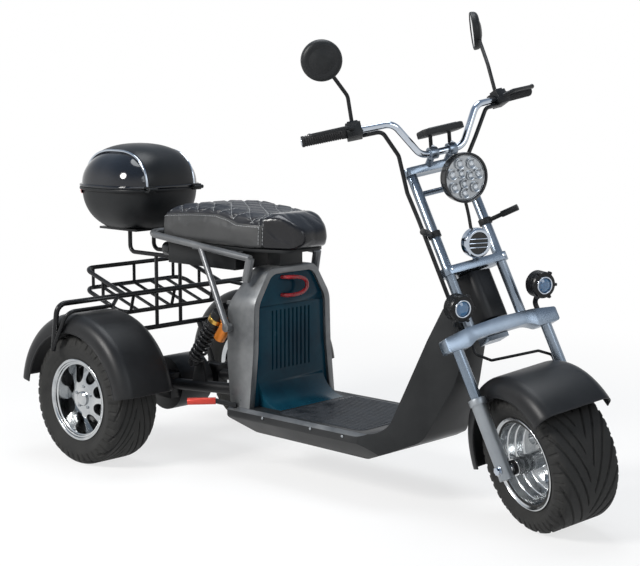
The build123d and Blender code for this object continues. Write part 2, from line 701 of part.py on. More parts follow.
left_loom = rod(
    [
        tuple(loom_head),
        tuple(loom_next),
        (BAR_CLAMP_N + 4, yoke_clear_y, TOP_YOKE_S + 48),
        (BAR_CLAMP_N - 16, tube_y - 22, TOP_YOKE_S - 22),
        (lamp_bar_front, tube_y - 40, lamp_bar_s),
    ],
    LOOM_R,
    LOOM_BEND,
)
hose_head_s = LIGHT_BAR_S - LIGHT_BAR_H / 2
hose_end_n = FORK_OFFSET - SLIDER_COLLAR_R - HOSE_R - SEAT_GAP
hose = rod(
    [
        (FORK_OFFSET - LIGHT_BAR_DEPTH / 2 - HOSE_R - SEAT_GAP, -tube_y, LIGHT_BAR_S),
        (FORK_OFFSET - LIGHT_BAR_DEPTH / 2 - HOSE_R - SEAT_GAP, -tube_y, hose_head_s - 20),
        (hose_end_n, -tube_y / 2, hose_head_s - 52),
        (hose_end_n, leg_y - 40, hose_head_s - 66),
        (hose_end_n, leg_y, hose_head_s - 90),
        (hose_end_n, leg_y, SLIDER_TOP - SLIDER_COLLAR_H),
    ],
    HOSE_R,
    HOSE_BEND,
)
pieces["cables"] = steered * (mirror(right_loom, about=Plane.XZ) + left_loom + hose)

# Body tub: side, plan and end outlines meet in one solid
# columns: x, z, corner radius
side_rows = [
    (TUB_REAR, FLOOR_Z, 10),
    (FLOOR_FRONT, FLOOR_Z, 70),
    (1248, 540, 160),
    (NECK_X, NECK_Z, 0),
    (NECK_X + NECK_RUN, NECK_Z - NECK_FALL, 0),
    (NOSE_X, 530, 30),
    (1322, 396, 200),
    (1238, 216, 60),
    (1150, 176, 80),
    (1060, BELLY_Z, 60),
    (560, BELLY_Z + 8, 40),
    (TUB_REAR, BELLY_Z + 55, 10),
]
# columns: half width, x, corner radius
plan_rows = [
    (FLOOR_HALF, TUB_REAR - 20, 0),
    (FLOOR_HALF, 1080, 120),
    (105, 1250, 160),
    (36, NOSE_X + 20, 0),
]
end_rows = [
    (BELLY_HALF, BELLY_Z - 20, 0),
    (BELLY_HALF, BELLY_Z, 20),
    (FLOOR_HALF, FLOOR_Z - SIDE_BAND_H, 14),
    (FLOOR_HALF, FLOOR_Z - EDGE_BAND, 0),
    (FLOOR_HALF - EDGE_BAND, FLOOR_Z, 0),
    (FLOOR_HALF - EDGE_BAND, NECK_Z + 20, 0),
]
plan_face = outline([(x, y, radius) for y, x, radius in mirrored(plan_rows)])
tub = extrude(Plane.XZ * outline(side_rows), amount=FLOOR_HALF + 20, both=True)
tub &= extrude(plan_face, amount=2 * NECK_Z)
tub &= extrude(Plane.YZ * outline(mirrored(end_rows)), amount=2 * NOSE_X)
mat_front = FLOOR_FRONT - 90
mat_rear = PILLAR_FRONT + 110
mat_length = mat_front - mat_rear
mat_width = 2 * (FLOOR_HALF - MAT_MARGIN)
mat_at = Pos((mat_front + mat_rear) / 2, 0, FLOOR_Z)
mat_pocket = extrude(RectangleRounded(mat_length, mat_width, MAT_CORNER), amount=-MAT_T)
tub -= mat_at * mat_pocket
pieces["body_tub"] = tub
mat_sheet = extrude(RectangleRounded(mat_length - 1, mat_width - 1, MAT_CORNER), amount=MAT_T + 1)
pieces["floor_mat"] = mat_at * Pos(0, 0, -MAT_T) * mat_sheet

# Neck: head tube on the steering axis, a cover round it and a root on the tub
head_low = lug_high + 1.0
head_high = MID_YOKE_S - MID_YOKE_H / 2 - 1.0
neck = Pos(0, 0, head_low) * Cylinder(HEAD_R, head_high - head_low, align=(Align.CENTER, Align.CENTER, Align.MIN))
cover_low = lug_high + MOVE_GAP
cover = extrude(RectangleRounded(96, 104, 26), amount=head_high - cover_low - MOVE_GAP)
neck += Pos(6, 0, cover_low) * cover
neck = fork.location * neck
neck_rows = [
    (NECK_X, NECK_Z + SEAT_GAP, 0),
    (NECK_X + NECK_RUN, NECK_Z - NECK_FALL + SEAT_GAP, 0),
    (1366, 624, 0),
    (1332, 692, 0),
    (1298, 690, 0),
]
neck += extrude(Plane.XZ * outline(neck_rows), amount=38, both=True)
neck -= fork.location * Cylinder(STEM_R + RUN_GAP, 4 * MID_YOKE_S)
pieces["frame_neck"] = neck

# Seat pillar: an arched shell with a pocket for the battery and a recess for the panel
# columns: half width, z, corner radius
arch_rows = [
    (PILLAR_FOOT_HALF, FLOOR_Z, 0),
    (PILLAR_HALF + 2, 420, 200),
    (PILLAR_HALF - 4, 590, 90),
    (110, PILLAR_TOP, 60),
]
recess_rows = [
    (PILLAR_FOOT_HALF - PILLAR_RIM, FLOOR_Z, 0),
    (PILLAR_HALF + 2 - PILLAR_RIM, 420, 180),
    (PILLAR_HALF - 4 - PILLAR_RIM, 584, 80),
    (100, PILLAR_TOP - PILLAR_RIM, 45),
]
pillar_side_rows = [
    (TUB_REAR + 4, FLOOR_Z, 0),
    (440, 400, 160),
    (436, 560, 160),
    (492, PILLAR_TOP, 20),
    (PILLAR_FRONT, PILLAR_TOP, 8),
    (PILLAR_FRONT, FLOOR_Z, 0),
]
panel_back = PILLAR_FRONT - PANEL_INSET - PANEL_T
pillar = extrude(Plane.YZ * outline(mirrored(arch_rows)), amount=2 * PILLAR_FRONT)
pillar &= extrude(Plane.XZ * outline(pillar_side_rows), amount=2 * FLOOR_HALF, both=True)
recess = extrude(Plane.YZ.offset(panel_back - SEAT_GAP) * outline(mirrored(recess_rows)), amount=200)
pillar -= recess
battery_back = panel_back - SEAT_GAP - BATTERY_D
battery_mid = BATTERY_LOW + BATTERY_H / 2
pillar -= Pos(battery_back + BATTERY_D, 0, battery_mid) * Box(
    2 * BATTERY_D, BATTERY_W, BATTERY_H, align=(Align.CENTER, Align.CENTER, Align.CENTER)
)
# Ears behind the pillar that hold the upper shock pins
ear_y = SHOCK_HALF - 42
ear_root = battery_back - 6
ear_length = ear_root - SHOCK_TOP_X + 16
ear = Pos(ear_root - ear_length / 2, ear_y, SHOCK_TOP_Z) * Box(ear_length, 10, 34)
ear += Pos(SHOCK_TOP_X, 0, SHOCK_TOP_Z) * disc(SHOCK_PIN_R, ear_y, SHOCK_HALF + 18)
pillar += both_sides(ear)
pieces["seat_pillar"] = pillar
pieces["battery"] = Pos(panel_back - SEAT_GAP - BATTERY_D / 2 - 1, 0, battery_mid) * Box(
    BATTERY_D - 2, BATTERY_W - 2, BATTERY_H - 2
)

# Ribbed panel with a cove at its foot
inset_rows = [
    (PILLAR_FOOT_HALF - PILLAR_RIM - SEAT_GAP, FLOOR_Z + SEAT_GAP, 0),
    (PILLAR_HALF + 2 - PILLAR_RIM - SEAT_GAP, 420, 180),
    (PILLAR_HALF - 4 - PILLAR_RIM - SEAT_GAP, 584, 80),
    (100 - SEAT_GAP, PILLAR_TOP - PILLAR_RIM - SEAT_GAP, 45),
]
panel = extrude(Plane.YZ.offset(panel_back) * outline(mirrored(inset_rows)), amount=PANEL_T)
panel_face = panel_back + PANEL_T
cove_low = FLOOR_Z + SEAT_GAP
cove_top = RIB_LOW - 12
cove_run = cove_top - cove_low
cove_edges = Polyline((panel_face - 4, cove_top), (panel_face - 4, cove_low), (panel_face + cove_run, cove_low))
cove_arc = ThreePointArc(
    (panel_face + cove_run, cove_low),
    (panel_face + 0.3 * cove_run, cove_low + 0.3 * cove_run),
    (panel_face - 4, cove_top),
)
cove = extrude(Plane.XZ * make_face(cove_edges + cove_arc), amount=PILLAR_HALF - PILLAR_RIM - 8, both=True)
panel += cove
rib_mid = (RIB_LOW + RIB_HIGH) / 2
for index in range(RIB_COUNT):
    rib_y = (index - (RIB_COUNT - 1) / 2) * RIB_PITCH
    panel -= Pos(panel_face, rib_y, rib_mid) * Box(2 * RIB_GROOVE_D, RIB_GROOVE_W, RIB_HIGH - RIB_LOW)
panel -= Pos(panel_face, 0, RIB_HIGH + 18) * Box(8, 3 * PILLAR_HALF, 4)
pieces["pillar_panel"] = panel

handle_z = 652.0
handle_half = 46.0
handle_points = [
    (panel_face + SEAT_GAP, -handle_half, handle_z),
    (panel_face + 34, -handle_half, handle_z),
    (panel_face + 46, -handle_half + 18, handle_z - 66),
    (panel_face + 46, handle_half - 18, handle_z - 66),
    (panel_face + 34, handle_half, handle_z),
    (panel_face + SEAT_GAP, handle_half, handle_z),
]
pieces["battery_handle"] = rod(handle_points, 5, 12)

# Seat: cushion on a pan, the controller box below, and a rail round the outside
# columns: x, z, corner radius
seat_rows = [
    (SEAT_REAR, SEAT_BASE_Z, 12),
    (SEAT_REAR, 852, 50),
    (110, 892, 120),
    (308, 904, 300),
    (520, 882, 260),
    (604, 898, 60),
    (SEAT_NOSE, 846, 46),
    (SEAT_NOSE - 12, 790, 24),
    (640, SEAT_BASE_Z, 16),
]
seat_plan_rows = [
    (SEAT_HALF, SEAT_REAR, 80),
    (SEAT_HALF, 520, 160),
    (92, SEAT_NOSE, 70),
]
cushion = extrude(Plane.XZ * outline(seat_rows), amount=SEAT_HALF + 20, both=True)
cushion &= extrude(outline([(x, y, radius) for y, x, radius in mirrored(seat_plan_rows)]), amount=2000)
pieces["seat_cushion"] = cushion

pan_top = SEAT_BASE_Z - SEAT_GAP
pan_low = pan_top - PAN_T
pan_rows = [
    (SEAT_HALF - 14, SEAT_REAR + 12, 70),
    (SEAT_HALF - 14, 520, 120),
    (86, 632, 50),
]
pan = Pos(0, 0, pan_low) * extrude(
    outline([(x, y, radius) for y, x, radius in mirrored(pan_rows)]), amount=PAN_T
)
post_x = (PILLAR_FRONT + 492) / 2
post_low = PILLAR_TOP + SEAT_GAP
pan += Pos(post_x, 0, post_low) * Box(
    60, 110, pan_low + 1 - post_low, align=(Align.CENTER, Align.CENTER, Align.MIN)
)
pieces["seat_pan"] = pan
controller_top = pan_low - SEAT_GAP
pieces["controller_box"] = Pos(
    CONTROLLER_REAR + CONTROLLER_L / 2, 0, controller_top - CONTROLLER_H / 2
) * Box(CONTROLLER_L, CONTROLLER_W, CONTROLLER_H)

rail_points = [
    (RAIL_FRONT, -RAIL_HALF, RAIL_FRONT_Z),
    (RAIL_REAR, -RAIL_HALF, RAIL_REAR_Z),
    (RAIL_REAR, RAIL_HALF, RAIL_REAR_Z),
    (RAIL_FRONT, RAIL_HALF, RAIL_FRONT_Z),
]
rail_slope = (RAIL_FRONT_Z - RAIL_REAR_Z) / (RAIL_FRONT - RAIL_REAR)


def rail_z(x):
    return RAIL_REAR_Z + rail_slope * (x - RAIL_REAR)


rail = rod(rail_points, RAIL_R, 60)
strut_foot = (452.0, -(PILLAR_HALF + RAIL_R + 4), 500.0)
strut = rod([(277, -RAIL_HALF, rail_z(277)), strut_foot], 11)
boss = Pos(strut_foot[0], 0, strut_foot[2]) * disc(15, strut_foot[1] - 9, -(PILLAR_HALF + 1))
brace = rod([(RAIL_FRONT, -RAIL_HALF, RAIL_FRONT_Z), (508, -RAIL_HALF - 3, 660)], 15)
tabs = Part()
for tab_x in (250, 420):
    tabs += Pos(tab_x, -(CONTROLLER_W / 2 + RAIL_HALF) / 2, controller_top - 4) * Box(
        30, RAIL_HALF - CONTROLLER_W / 2 - 1, 8
    )
rail += both_sides(strut + boss + brace + tabs)
pieces["seat_rail"] = rail

lamp_x = CONTROLLER_REAR - SEAT_GAP
lamp_y = TAIL_LAMP_R - CONTROLLER_W / 2
pieces["tail_lamp"] = Pos(lamp_x, lamp_y, controller_top - 30) * Rot(0, -90, 0) * Cylinder(
    TAIL_LAMP_R, TAIL_LAMP_L, align=(Align.CENTER, Align.CENTER, Align.MIN)
)

# Top box: hollow base with a flange, and a domed lid hinged at the front
flange_low = BOX_FLANGE_Z - BOX_FLANGE_H


def box_ring(grow, low, height):
    face = RectangleRounded(BOX_L + 2 * grow, BOX_W + 2 * grow, BOX_CORNER + grow)
    return Pos(BOX_X, 0, low) * extrude(face, amount=height)


def box_bowl(grow, low, high):
    shrink = BOX_TAPER - grow
    base = RectangleRounded(BOX_L - 2 * shrink, BOX_W - 2 * shrink, BOX_CORNER - shrink)
    rim = RectangleRounded(BOX_L + 2 * grow, BOX_W + 2 * grow, BOX_CORNER + grow)
    return Pos(BOX_X, 0, 0) * loft([Pos(0, 0, low) * base, Pos(0, 0, high) * rim])


bowl = box_bowl(0, BOX_BASE_Z, BOX_FLANGE_Z)
bowl = fillet(bowl.faces().sort_by(Axis.Z)[0].edges(), BOX_FOOT_R)
inner_bowl = box_bowl(-BOX_WALL, BOX_BASE_Z + BOX_WALL, BOX_FLANGE_Z + 0.01)
inner_bowl = fillet(inner_bowl.faces().sort_by(Axis.Z)[0].edges(), BOX_FOOT_R - BOX_WALL)
box_base = bowl + box_ring(BOX_FLANGE, flange_low, BOX_FLANGE_H)
box_base -= inner_bowl
hinge_x = BOX_X + BOX_L / 2 + BOX_FLANGE + HINGE_R + 3
hinge_z = BOX_FLANGE_Z
knuckle = Pos(hinge_x, 0, hinge_z) * disc(HINGE_R, HINGE_HALF - 20, HINGE_HALF - 7)
knuckle += Pos(hinge_x, 0, hinge_z) * disc(HINGE_R, HINGE_HALF + 7, HINGE_HALF + 20)
arm_length = HINGE_R + 14
for arm_y in (HINGE_HALF - 13.5, HINGE_HALF + 13.5):
    knuckle += Pos(hinge_x - arm_length / 2, arm_y, flange_low + 4) * Box(arm_length, 13, 8)
pin = Pos(hinge_x, 0, hinge_z) * disc(3, HINGE_HALF - 20, HINGE_HALF + 20)
box_base += both_sides(knuckle + pin)
pieces["box_base"] = box_base

lid_low = BOX_FLANGE_Z + SEAT_GAP
dome = box_ring(0, lid_low, BOX_LID_H)
dome = fillet(dome.faces().sort_by(Axis.Z)[-1].edges(), LID_FILLET)
hollow = box_ring(-BOX_WALL, lid_low - 1, BOX_LID_H - BOX_WALL + 1)
hollow = fillet(hollow.faces().sort_by(Axis.Z)[-1].edges(), LID_FILLET - BOX_WALL)
band = box_ring(LID_BAND_H, lid_low, BOX_LID_H + LID_BAND_H)
band = fillet(band.faces().sort_by(Axis.Z)[-1].edges(), LID_FILLET)
band &= Pos(BOX_X, 0, BOX_FLANGE_Z) * Box(2 * BOX_L, 2 * LID_BAND_HALF, 3 * BOX_LID_H)
lid = dome + band + box_ring(BOX_FLANGE, lid_low, BOX_FLANGE_H) - hollow
lid_knuckle = Pos(hinge_x, 0, hinge_z) * disc(HINGE_R, HINGE_HALF - 6, HINGE_HALF + 6)
lid_knuckle += Pos(hinge_x - arm_length / 2, HINGE_HALF, lid_low + 4) * Box(arm_length, 12, 8)
lid_knuckle -= Pos(hinge_x, 0, hinge_z) * disc(3 + RUN_GAP, HINGE_HALF - 30, HINGE_HALF + 30)
lid += both_sides(lid_knuckle)
pieces["box_lid"] = lid
reflector = box_ring(BOX_FLANGE - 2, flange_low - 14, 13.7) - box_ring(SEAT_GAP, flange_low - 20, 40)
reflector &= Pos(BOX_X - BOX_L / 2, 0, flange_low) * Box(70, BOX_W * 0.8, 60)
pieces["box_reflector"] = reflector

# Box carrier: a plate under the box on two bent tubes that run forward to the seat
carrier_half = 58.0
carrier_z = 694.0
plate_top = BOX_BASE_Z - SEAT_GAP
carrier = Pos(BOX_X, 0, plate_top - PLATE_T / 2) * Box(PLATE_L, PLATE_W, PLATE_T)
carrier_tube = rod(
    [
        (BOX_X + 10, carrier_half, plate_top - 6),
        (BOX_X + 10, carrier_half, carrier_z),
        (CONTROLLER_REAR - SEAT_GAP, carrier_half, carrier_z),
    ],
    CARRIER_R,
    26,
)
carrier += both_sides(carrier_tube)
pieces["box_carrier"] = carrier

# Basket: two rounded loops tilted to the front, joined by posts, with bars for a floor
basket_slope = math.atan2(BASKET_REAR_Z - BASKET_FRONT_Z, BASKET_FRONT - BASKET_REAR)


def basket_z(x, drop):
    return BASKET_REAR_Z - (x - BASKET_REAR) * math.tan(basket_slope) - drop


def basket_point(x, y, drop):
    return (x, y, basket_z(x, drop))


top_loop = []
for x, y in ((BASKET_FRONT, -1), (BASKET_REAR, -1), (BASKET_REAR, 1), (BASKET_FRONT, 1)):
    top_loop.append(basket_point(x, y * BASKET_HALF, 0))
floor_front = BASKET_FRONT - 20
floor_loop = []
for x, y in ((floor_front, -1), (BASKET_REAR, -1), (BASKET_REAR, 1), (floor_front, 1), (floor_front, -1)):
    floor_loop.append(basket_point(x, y * BASKET_HALF, BASKET_DEPTH))
basket = rod(top_loop, BASKET_R, BASKET_CORNER) + rod(floor_loop, BASKET_R, BASKET_CORNER)

# The front rail runs out over both fenders and bends down outside them as a guard
guard_y = REAR_HALF + REAR_FENDER_W / 2 + GUARD_R + SEAT_GAP
guard_points = [
    (BASKET_FRONT - 30, guard_y, GUARD_LOW_Z),
    (BASKET_FRONT, guard_y, BASKET_FRONT_Z),
    (BASKET_FRONT, -guard_y, BASKET_FRONT_Z),
    (BASKET_FRONT - 30, -guard_y, GUARD_LOW_Z),
]
basket += rod(guard_points, GUARD_R, GUARD_BEND)
guard_slope = 30.0 / (BASKET_FRONT_Z - GUARD_LOW_Z)
brace_foot_z = GUARD_LOW_Z + GUARD_R
brace_foot_x = BASKET_FRONT - (BASKET_FRONT_Z - brace_foot_z) * guard_slope
brace_top = REAR_TYRE_R + REAR_FENDER_R + GUARD_BRACE_R + MOVE_GAP
guard_brace = rod(
    [
        (BASKET_FRONT, BASKET_HALF + GUARD_BEND, BASKET_FRONT_Z),
        (GUARD_BRACE_X, BASKET_HALF + 3 * GUARD_BEND, brace_top),
        (GUARD_BRACE_X, guard_y, brace_top),
        (brace_foot_x, guard_y, brace_foot_z),
    ],
    GUARD_BRACE_R,
    GUARD_BEND,
)
basket += both_sides(guard_brace)
for index in range(BASKET_BARS):
    bar_y = (index - (BASKET_BARS - 1) / 2) * 2 * BASKET_HALF / (BASKET_BARS + 1)
    basket += rod(
        [basket_point(BASKET_REAR, bar_y, BASKET_DEPTH), basket_point(floor_front, bar_y, BASKET_DEPTH)],
        BASKET_BAR_R,
    )
post_table = [
    (BASKET_REAR, 0.0),
    (BASKET_REAR, BASKET_HALF - BASKET_CORNER),
    (floor_front, BASKET_HALF - BASKET_CORNER),
    (floor_front, 0.0),
    ((BASKET_REAR + floor_front) / 2, BASKET_HALF),
]
for x, y in post_table:
    top_x = BASKET_FRONT if x == floor_front else x
    for side in sorted({y, -y}):
        basket += rod([basket_point(x, side, BASKET_DEPTH), basket_point(top_x, side, 0)], BASKET_BAR_R)
pieces["basket"] = basket

# Rear subframe: posts from the carrier that hold the basket's floor, a cross tube between
# their feet, and straps down to the axle
cross_x = floor_front - BASKET_R - POST_R - SEAT_GAP
subframe = across(cross_x, CROSS_Z, CROSS_R, CROSS_HALF)
post = rod([(cross_x, carrier_half, carrier_z), (cross_x, carrier_half, CROSS_Z)], POST_R)
post -= rod(
    [(BOX_X, carrier_half, carrier_z), (CONTROLLER_REAR, carrier_half, carrier_z)], CARRIER_R + SEAT_GAP
)
strap_foot = REAR_TYRE_R + HOUSING_R + SEAT_GAP
strap = Plane.XZ * outline(
    [
        (cross_x - STRAP_W / 2, CROSS_Z, 6),
        (cross_x + STRAP_W / 2, CROSS_Z, 6),
        (STRAP_W / 2, strap_foot, 0),
        (-STRAP_W / 2, strap_foot, 0),
    ]
)
strap_solid = Pos(0, STRAP_HALF, 0) * extrude(strap, amount=STRAP_T / 2, both=True)
subframe += both_sides(post + strap_solid)
pieces["rear_subframe"] = subframe

# Rear axle: housing with the motor in the middle and bearing ends
housing = disc(HOUSING_R, -HOUSING_END, HOUSING_END)
housing += disc(MOTOR_R, -MOTOR_W / 2 - 20, MOTOR_W / 2 - 20)
housing += both_sides(disc(HOUSING_R + 14, HOUSING_END - 16, HOUSING_END))
housing -= both_sides(disc(STUB_R + RUN_GAP, HOUSING_END - STUB_IN_HOUSING - 4, HOUSING_END + 1))
pieces["rear_axle"] = Pos(0, 0, REAR_TYRE_R) * housing

# Swing arm from the body to the axle, with brackets for the shocks
arm = rod([(PIVOT_X, ARM_HALF, PIVOT_Z), (46, ARM_HALF, REAR_TYRE_R + 10)], ARM_R)
arm += Pos(40, ARM_HALF, REAR_TYRE_R + 5) * Box(90, 44, 90) - Pos(0, 0, REAR_TYRE_R) * disc(
    HOUSING_R + SEAT_GAP, 0, 2 * ARM_HALF
)
shock_pad = Plane.XZ * outline(
    [
        (SHOCK_FOOT_X - 40, PIVOT_Z - 20, 0),
        (SHOCK_FOOT_X + 40, PIVOT_Z - 16, 0),
        (SHOCK_FOOT_X + 14, SHOCK_FOOT_Z + 14, 12),
        (SHOCK_FOOT_X - 14, SHOCK_FOOT_Z + 14, 12),
    ]
)
arm += Pos(0, ARM_HALF + 4, 0) * extrude(shock_pad, amount=5, both=True)
arm += Pos(SHOCK_FOOT_X, 0, SHOCK_FOOT_Z) * disc(SHOCK_PIN_R, ARM_HALF + 4, SHOCK_HALF + 18)
swing_arm = both_sides(arm) + across(PIVOT_X, PIVOT_Z, ARM_R, ARM_HALF)
swing_arm += Pos((PIVOT_X + TUB_REAR) / 2, 0, PIVOT_Z - 48) * Box(
    TUB_REAR - PIVOT_X + 40, 160, 40
) - Pos(TUB_REAR + 50 - SEAT_GAP, 0, PIVOT_Z) * Box(100, 400, 300)
swing_arm += Pos(PIVOT_X, 0, PIVOT_Z - 30) * Box(30, 160, 60) - Pos(TUB_REAR + 50 - SEAT_GAP, 0, PIVOT_Z) * Box(
    100, 400, 300
)
pieces["swing_arm"] = swing_arm

# Shocks: eyes, damper and spring sleeve on one line, with a reservoir beside each
shock_run = Vector(SHOCK_TOP_X - SHOCK_FOOT_X, 0, SHOCK_TOP_Z - SHOCK_FOOT_Z)
shock_length = shock_run.length
shock_line = Plane(origin=(SHOCK_FOOT_X, SHOCK_HALF, SHOCK_FOOT_Z), x_dir=(0, 1, 0), z_dir=shock_run)
eye = Rot(0, 90, 0) * Cylinder(17, 26)
shock = eye + Pos(0, 0, shock_length) * eye
shock += Cylinder(9, shock_length, align=(Align.CENTER, Align.CENTER, Align.MIN))
shock += Pos(0, 0, 22) * Cylinder(30, 8, align=(Align.CENTER, Align.CENTER, Align.MIN))
shock += Pos(0, 0, shock_length - 84) * Cylinder(24, 66, align=(Align.CENTER, Align.CENTER, Align.MIN))
coil_low = 30.0
coil_high = shock_length - 84
coil_turns = 6
coil_pitch = (coil_high - coil_low) / coil_turns
for turn in range(coil_turns):
    shock += Pos(0, 0, coil_low + (turn + 0.5) * coil_pitch) * Cylinder(27, coil_pitch * 0.5)
shock += Pos(0, 0, coil_low) * Cylinder(17, coil_high - coil_low, align=(Align.CENTER, Align.CENTER, Align.MIN))
pin_hole = Rot(0, 90, 0) * Cylinder(SHOCK_PIN_R + SEAT_GAP, 200)
shock -= pin_hole + Pos(0, 0, shock_length) * pin_hole
shock = shock_line.location * shock
pieces["shock_left"] = shock
pieces["shock_right"] = mirror(shock, about=Plane.XZ)
reservoir_offset = 52.0
reservoir = Pos(0, -reservoir_offset, shock_length - 100) * Cylinder(
    21, 80, align=(Align.CENTER, Align.CENTER, Align.MIN)
)
reservoir += Pos(0, -reservoir_offset / 2, shock_length - 34) * Box(14, reservoir_offset, 14)
reservoir -= Cylinder(24 + SEAT_GAP, 4 * shock_length)
reservoir = shock_line.location * reservoir
pieces["reservoir_left"] = reservoir
pieces["reservoir_right"] = mirror(reservoir, about=Plane.XZ)

# Rear fenders, each with a lug on the housing's end
rear_sheet = fender(REAR_FENDER_R, REAR_FENDER_W, REAR_FENDER_SKIRT, REAR_FENDER_FROM, REAR_FENDER_TO)
sheet_left = left_wheel * rear_sheet
pieces["fender_left"] = sheet_left
pieces["fender_right"] = mirror(sheet_left, about=Plane.XZ)

# Footpegs on short arms from the tub's rear corners
peg_root = (TUB_REAR - 28, FLOOR_HALF + 27, FLOOR_Z + 17)
peg_tip = (peg_root[0] - PEG_BACK, peg_root[1] + PEG_OUT, FLOOR_Z + 15)
peg = rod([(TUB_REAR + PEG_ARM_ON, FLOOR_HALF - 12, FLOOR_Z + 4), peg_root], PEG_ARM_R)
peg += rod([peg_root, peg_tip], PEG_R)
peg -= tub
peg -= pillar
pieces["footpeg_left"] = peg
pieces["footpeg_right"] = mirror(peg, about=Plane.XZ)

# Move everything so that the origin lies under the middle, and write each piece
boxes = [shape.bounding_box() for shape in pieces.values()]
front_end = max(box.max.X for box in boxes)
rear_end = min(box.min.X for box in boxes)
centre = Pos(-(front_end + rear_end) / 2, 0, 0)
for name, shape in pieces.items():
    export_step(centre * shape, f"parts/{name}.step")
print("origin ahead of the rear axle", round((front_end + rear_end) / 2, 3))
print("front axle height", round(FRONT_AXLE_Z, 3))
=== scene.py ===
import json
import math

import bpy
import numpy as np
from mathutils import Matrix, Vector

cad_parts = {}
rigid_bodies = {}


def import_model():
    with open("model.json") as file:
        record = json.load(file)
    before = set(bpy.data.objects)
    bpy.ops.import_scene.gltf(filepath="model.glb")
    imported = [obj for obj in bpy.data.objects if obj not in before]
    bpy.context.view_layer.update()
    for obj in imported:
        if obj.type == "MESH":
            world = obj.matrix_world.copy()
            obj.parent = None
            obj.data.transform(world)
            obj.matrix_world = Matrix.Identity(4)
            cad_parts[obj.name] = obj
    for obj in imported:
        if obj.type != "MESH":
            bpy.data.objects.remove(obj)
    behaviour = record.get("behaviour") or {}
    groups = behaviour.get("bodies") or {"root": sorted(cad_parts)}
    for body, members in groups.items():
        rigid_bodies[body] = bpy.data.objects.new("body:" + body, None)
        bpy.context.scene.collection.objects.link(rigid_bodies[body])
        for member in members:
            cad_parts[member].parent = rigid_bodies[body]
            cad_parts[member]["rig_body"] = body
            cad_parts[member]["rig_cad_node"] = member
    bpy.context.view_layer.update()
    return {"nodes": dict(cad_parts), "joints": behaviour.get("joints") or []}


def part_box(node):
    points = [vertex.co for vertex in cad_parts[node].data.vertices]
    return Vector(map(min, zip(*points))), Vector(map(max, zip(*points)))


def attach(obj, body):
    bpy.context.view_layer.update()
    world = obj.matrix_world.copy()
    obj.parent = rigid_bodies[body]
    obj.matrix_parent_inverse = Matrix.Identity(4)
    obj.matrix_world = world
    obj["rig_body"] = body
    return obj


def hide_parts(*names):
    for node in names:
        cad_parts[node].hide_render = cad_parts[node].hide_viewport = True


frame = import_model()
cadNodes = frame["nodes"]
joints = {joint["name"]: joint for joint in frame["joints"]}
print("frame loaded,", len(cadNodes), "nodes")


# Places that follow from the frame

def jointSpot(name):
    return Vector(joints[name]["pos_m"])


def jointAxis(name):
    return Vector(joints[name]["axis"]).normalized()


def frameOf(origin, across, up):
    forward = across.cross(up).normalized()
    place = Matrix((forward, across, up)).transposed().to_4x4()
    place.translation = origin
    return place


steerUp = jointAxis("steering_turn")
wheelAcross = jointAxis("front_wheel_spin")
frontPlace = frameOf(jointSpot("front_wheel_spin"), wheelAcross, steerUp)
leftPlace = Matrix.Translation(jointSpot("rear_wheel_left_spin"))
rightPlace = Matrix.Translation(jointSpot("rear_wheel_right_spin")) @ Matrix.Rotation(math.pi, 4, "Z")
axleX = jointSpot("rear_wheel_left_spin").x


# Small tools for working by hand

def deselectAll():
    if bpy.context.mode != "OBJECT":
        bpy.ops.object.mode_set(mode="OBJECT")
    bpy.ops.object.select_all(action="DESELECT")


def activate(piece):
    deselectAll()
    piece.select_set(True)
    bpy.context.view_layer.objects.active = piece


def mended(piece, gap=0.00002, outward=True):
    activate(piece)
    bpy.ops.object.mode_set(mode="EDIT")
    bpy.ops.mesh.select_all(action="SELECT")
    bpy.ops.mesh.remove_doubles(threshold=gap)
    if outward:
        bpy.ops.mesh.normals_make_consistent(inside=False)
    bpy.ops.object.mode_set(mode="OBJECT")
    return piece


def smoothed(piece, angle):
    activate(piece)
    bpy.ops.object.shade_smooth_by_angle(angle=math.radians(angle))
    return piece


def moved(piece, place):
    activate(piece)
    piece.matrix_world = place
    bpy.ops.object.transform_apply(location=True, rotation=True, scale=True)
    return piece


def applyModifier(piece, kind, **settings):
    activate(piece)
    modifier = piece.modifiers.new(kind.title(), kind)
    for key, value in settings.items():
        setattr(modifier, key, value)
    bpy.ops.object.modifier_apply(modifier=modifier.name)
    return piece


def bevelled(piece, width, segments=2, angle=40.0):
    return applyModifier(piece, "BEVEL", width=width, segments=segments, limit_method="ANGLE",
                         angle_limit=math.radians(angle), harden_normals=False)


def joined(pieces, name):
    deselectAll()
    for piece in pieces:
        piece.select_set(True)
    bpy.context.view_layer.objects.active = pieces[0]
    bpy.ops.object.join()
    bpy.context.object.name = name
    return bpy.context.object


def copied(piece, name, place):
    activate(piece)
    bpy.ops.object.duplicate()
    twin = bpy.context.object
    twin.name = name
    return moved(twin, place @ twin.matrix_world)


def shapedGrid(name, columns, rows, place):
    # a grid bent to shape: place gives points for arrays of u and v from 0 to 1
    deselectAll()
    bpy.ops.mesh.primitive_grid_add(x_subdivisions=columns, y_subdivisions=rows, size=1)
    piece = bpy.context.object
    piece.name = name
    flat = np.empty(len(piece.data.vertices) * 3)
    piece.data.vertices.foreach_get("co", flat)
    spots = flat.reshape(-1, 3)
    shaped = place(spots[:, 0] + 0.5, spots[:, 1] + 0.5)
    piece.data.vertices.foreach_set("co", np.asarray(shaped, np.float32).ravel())
    return mended(piece)


cornerShare = 0.49  # the most of a side that a corner may take


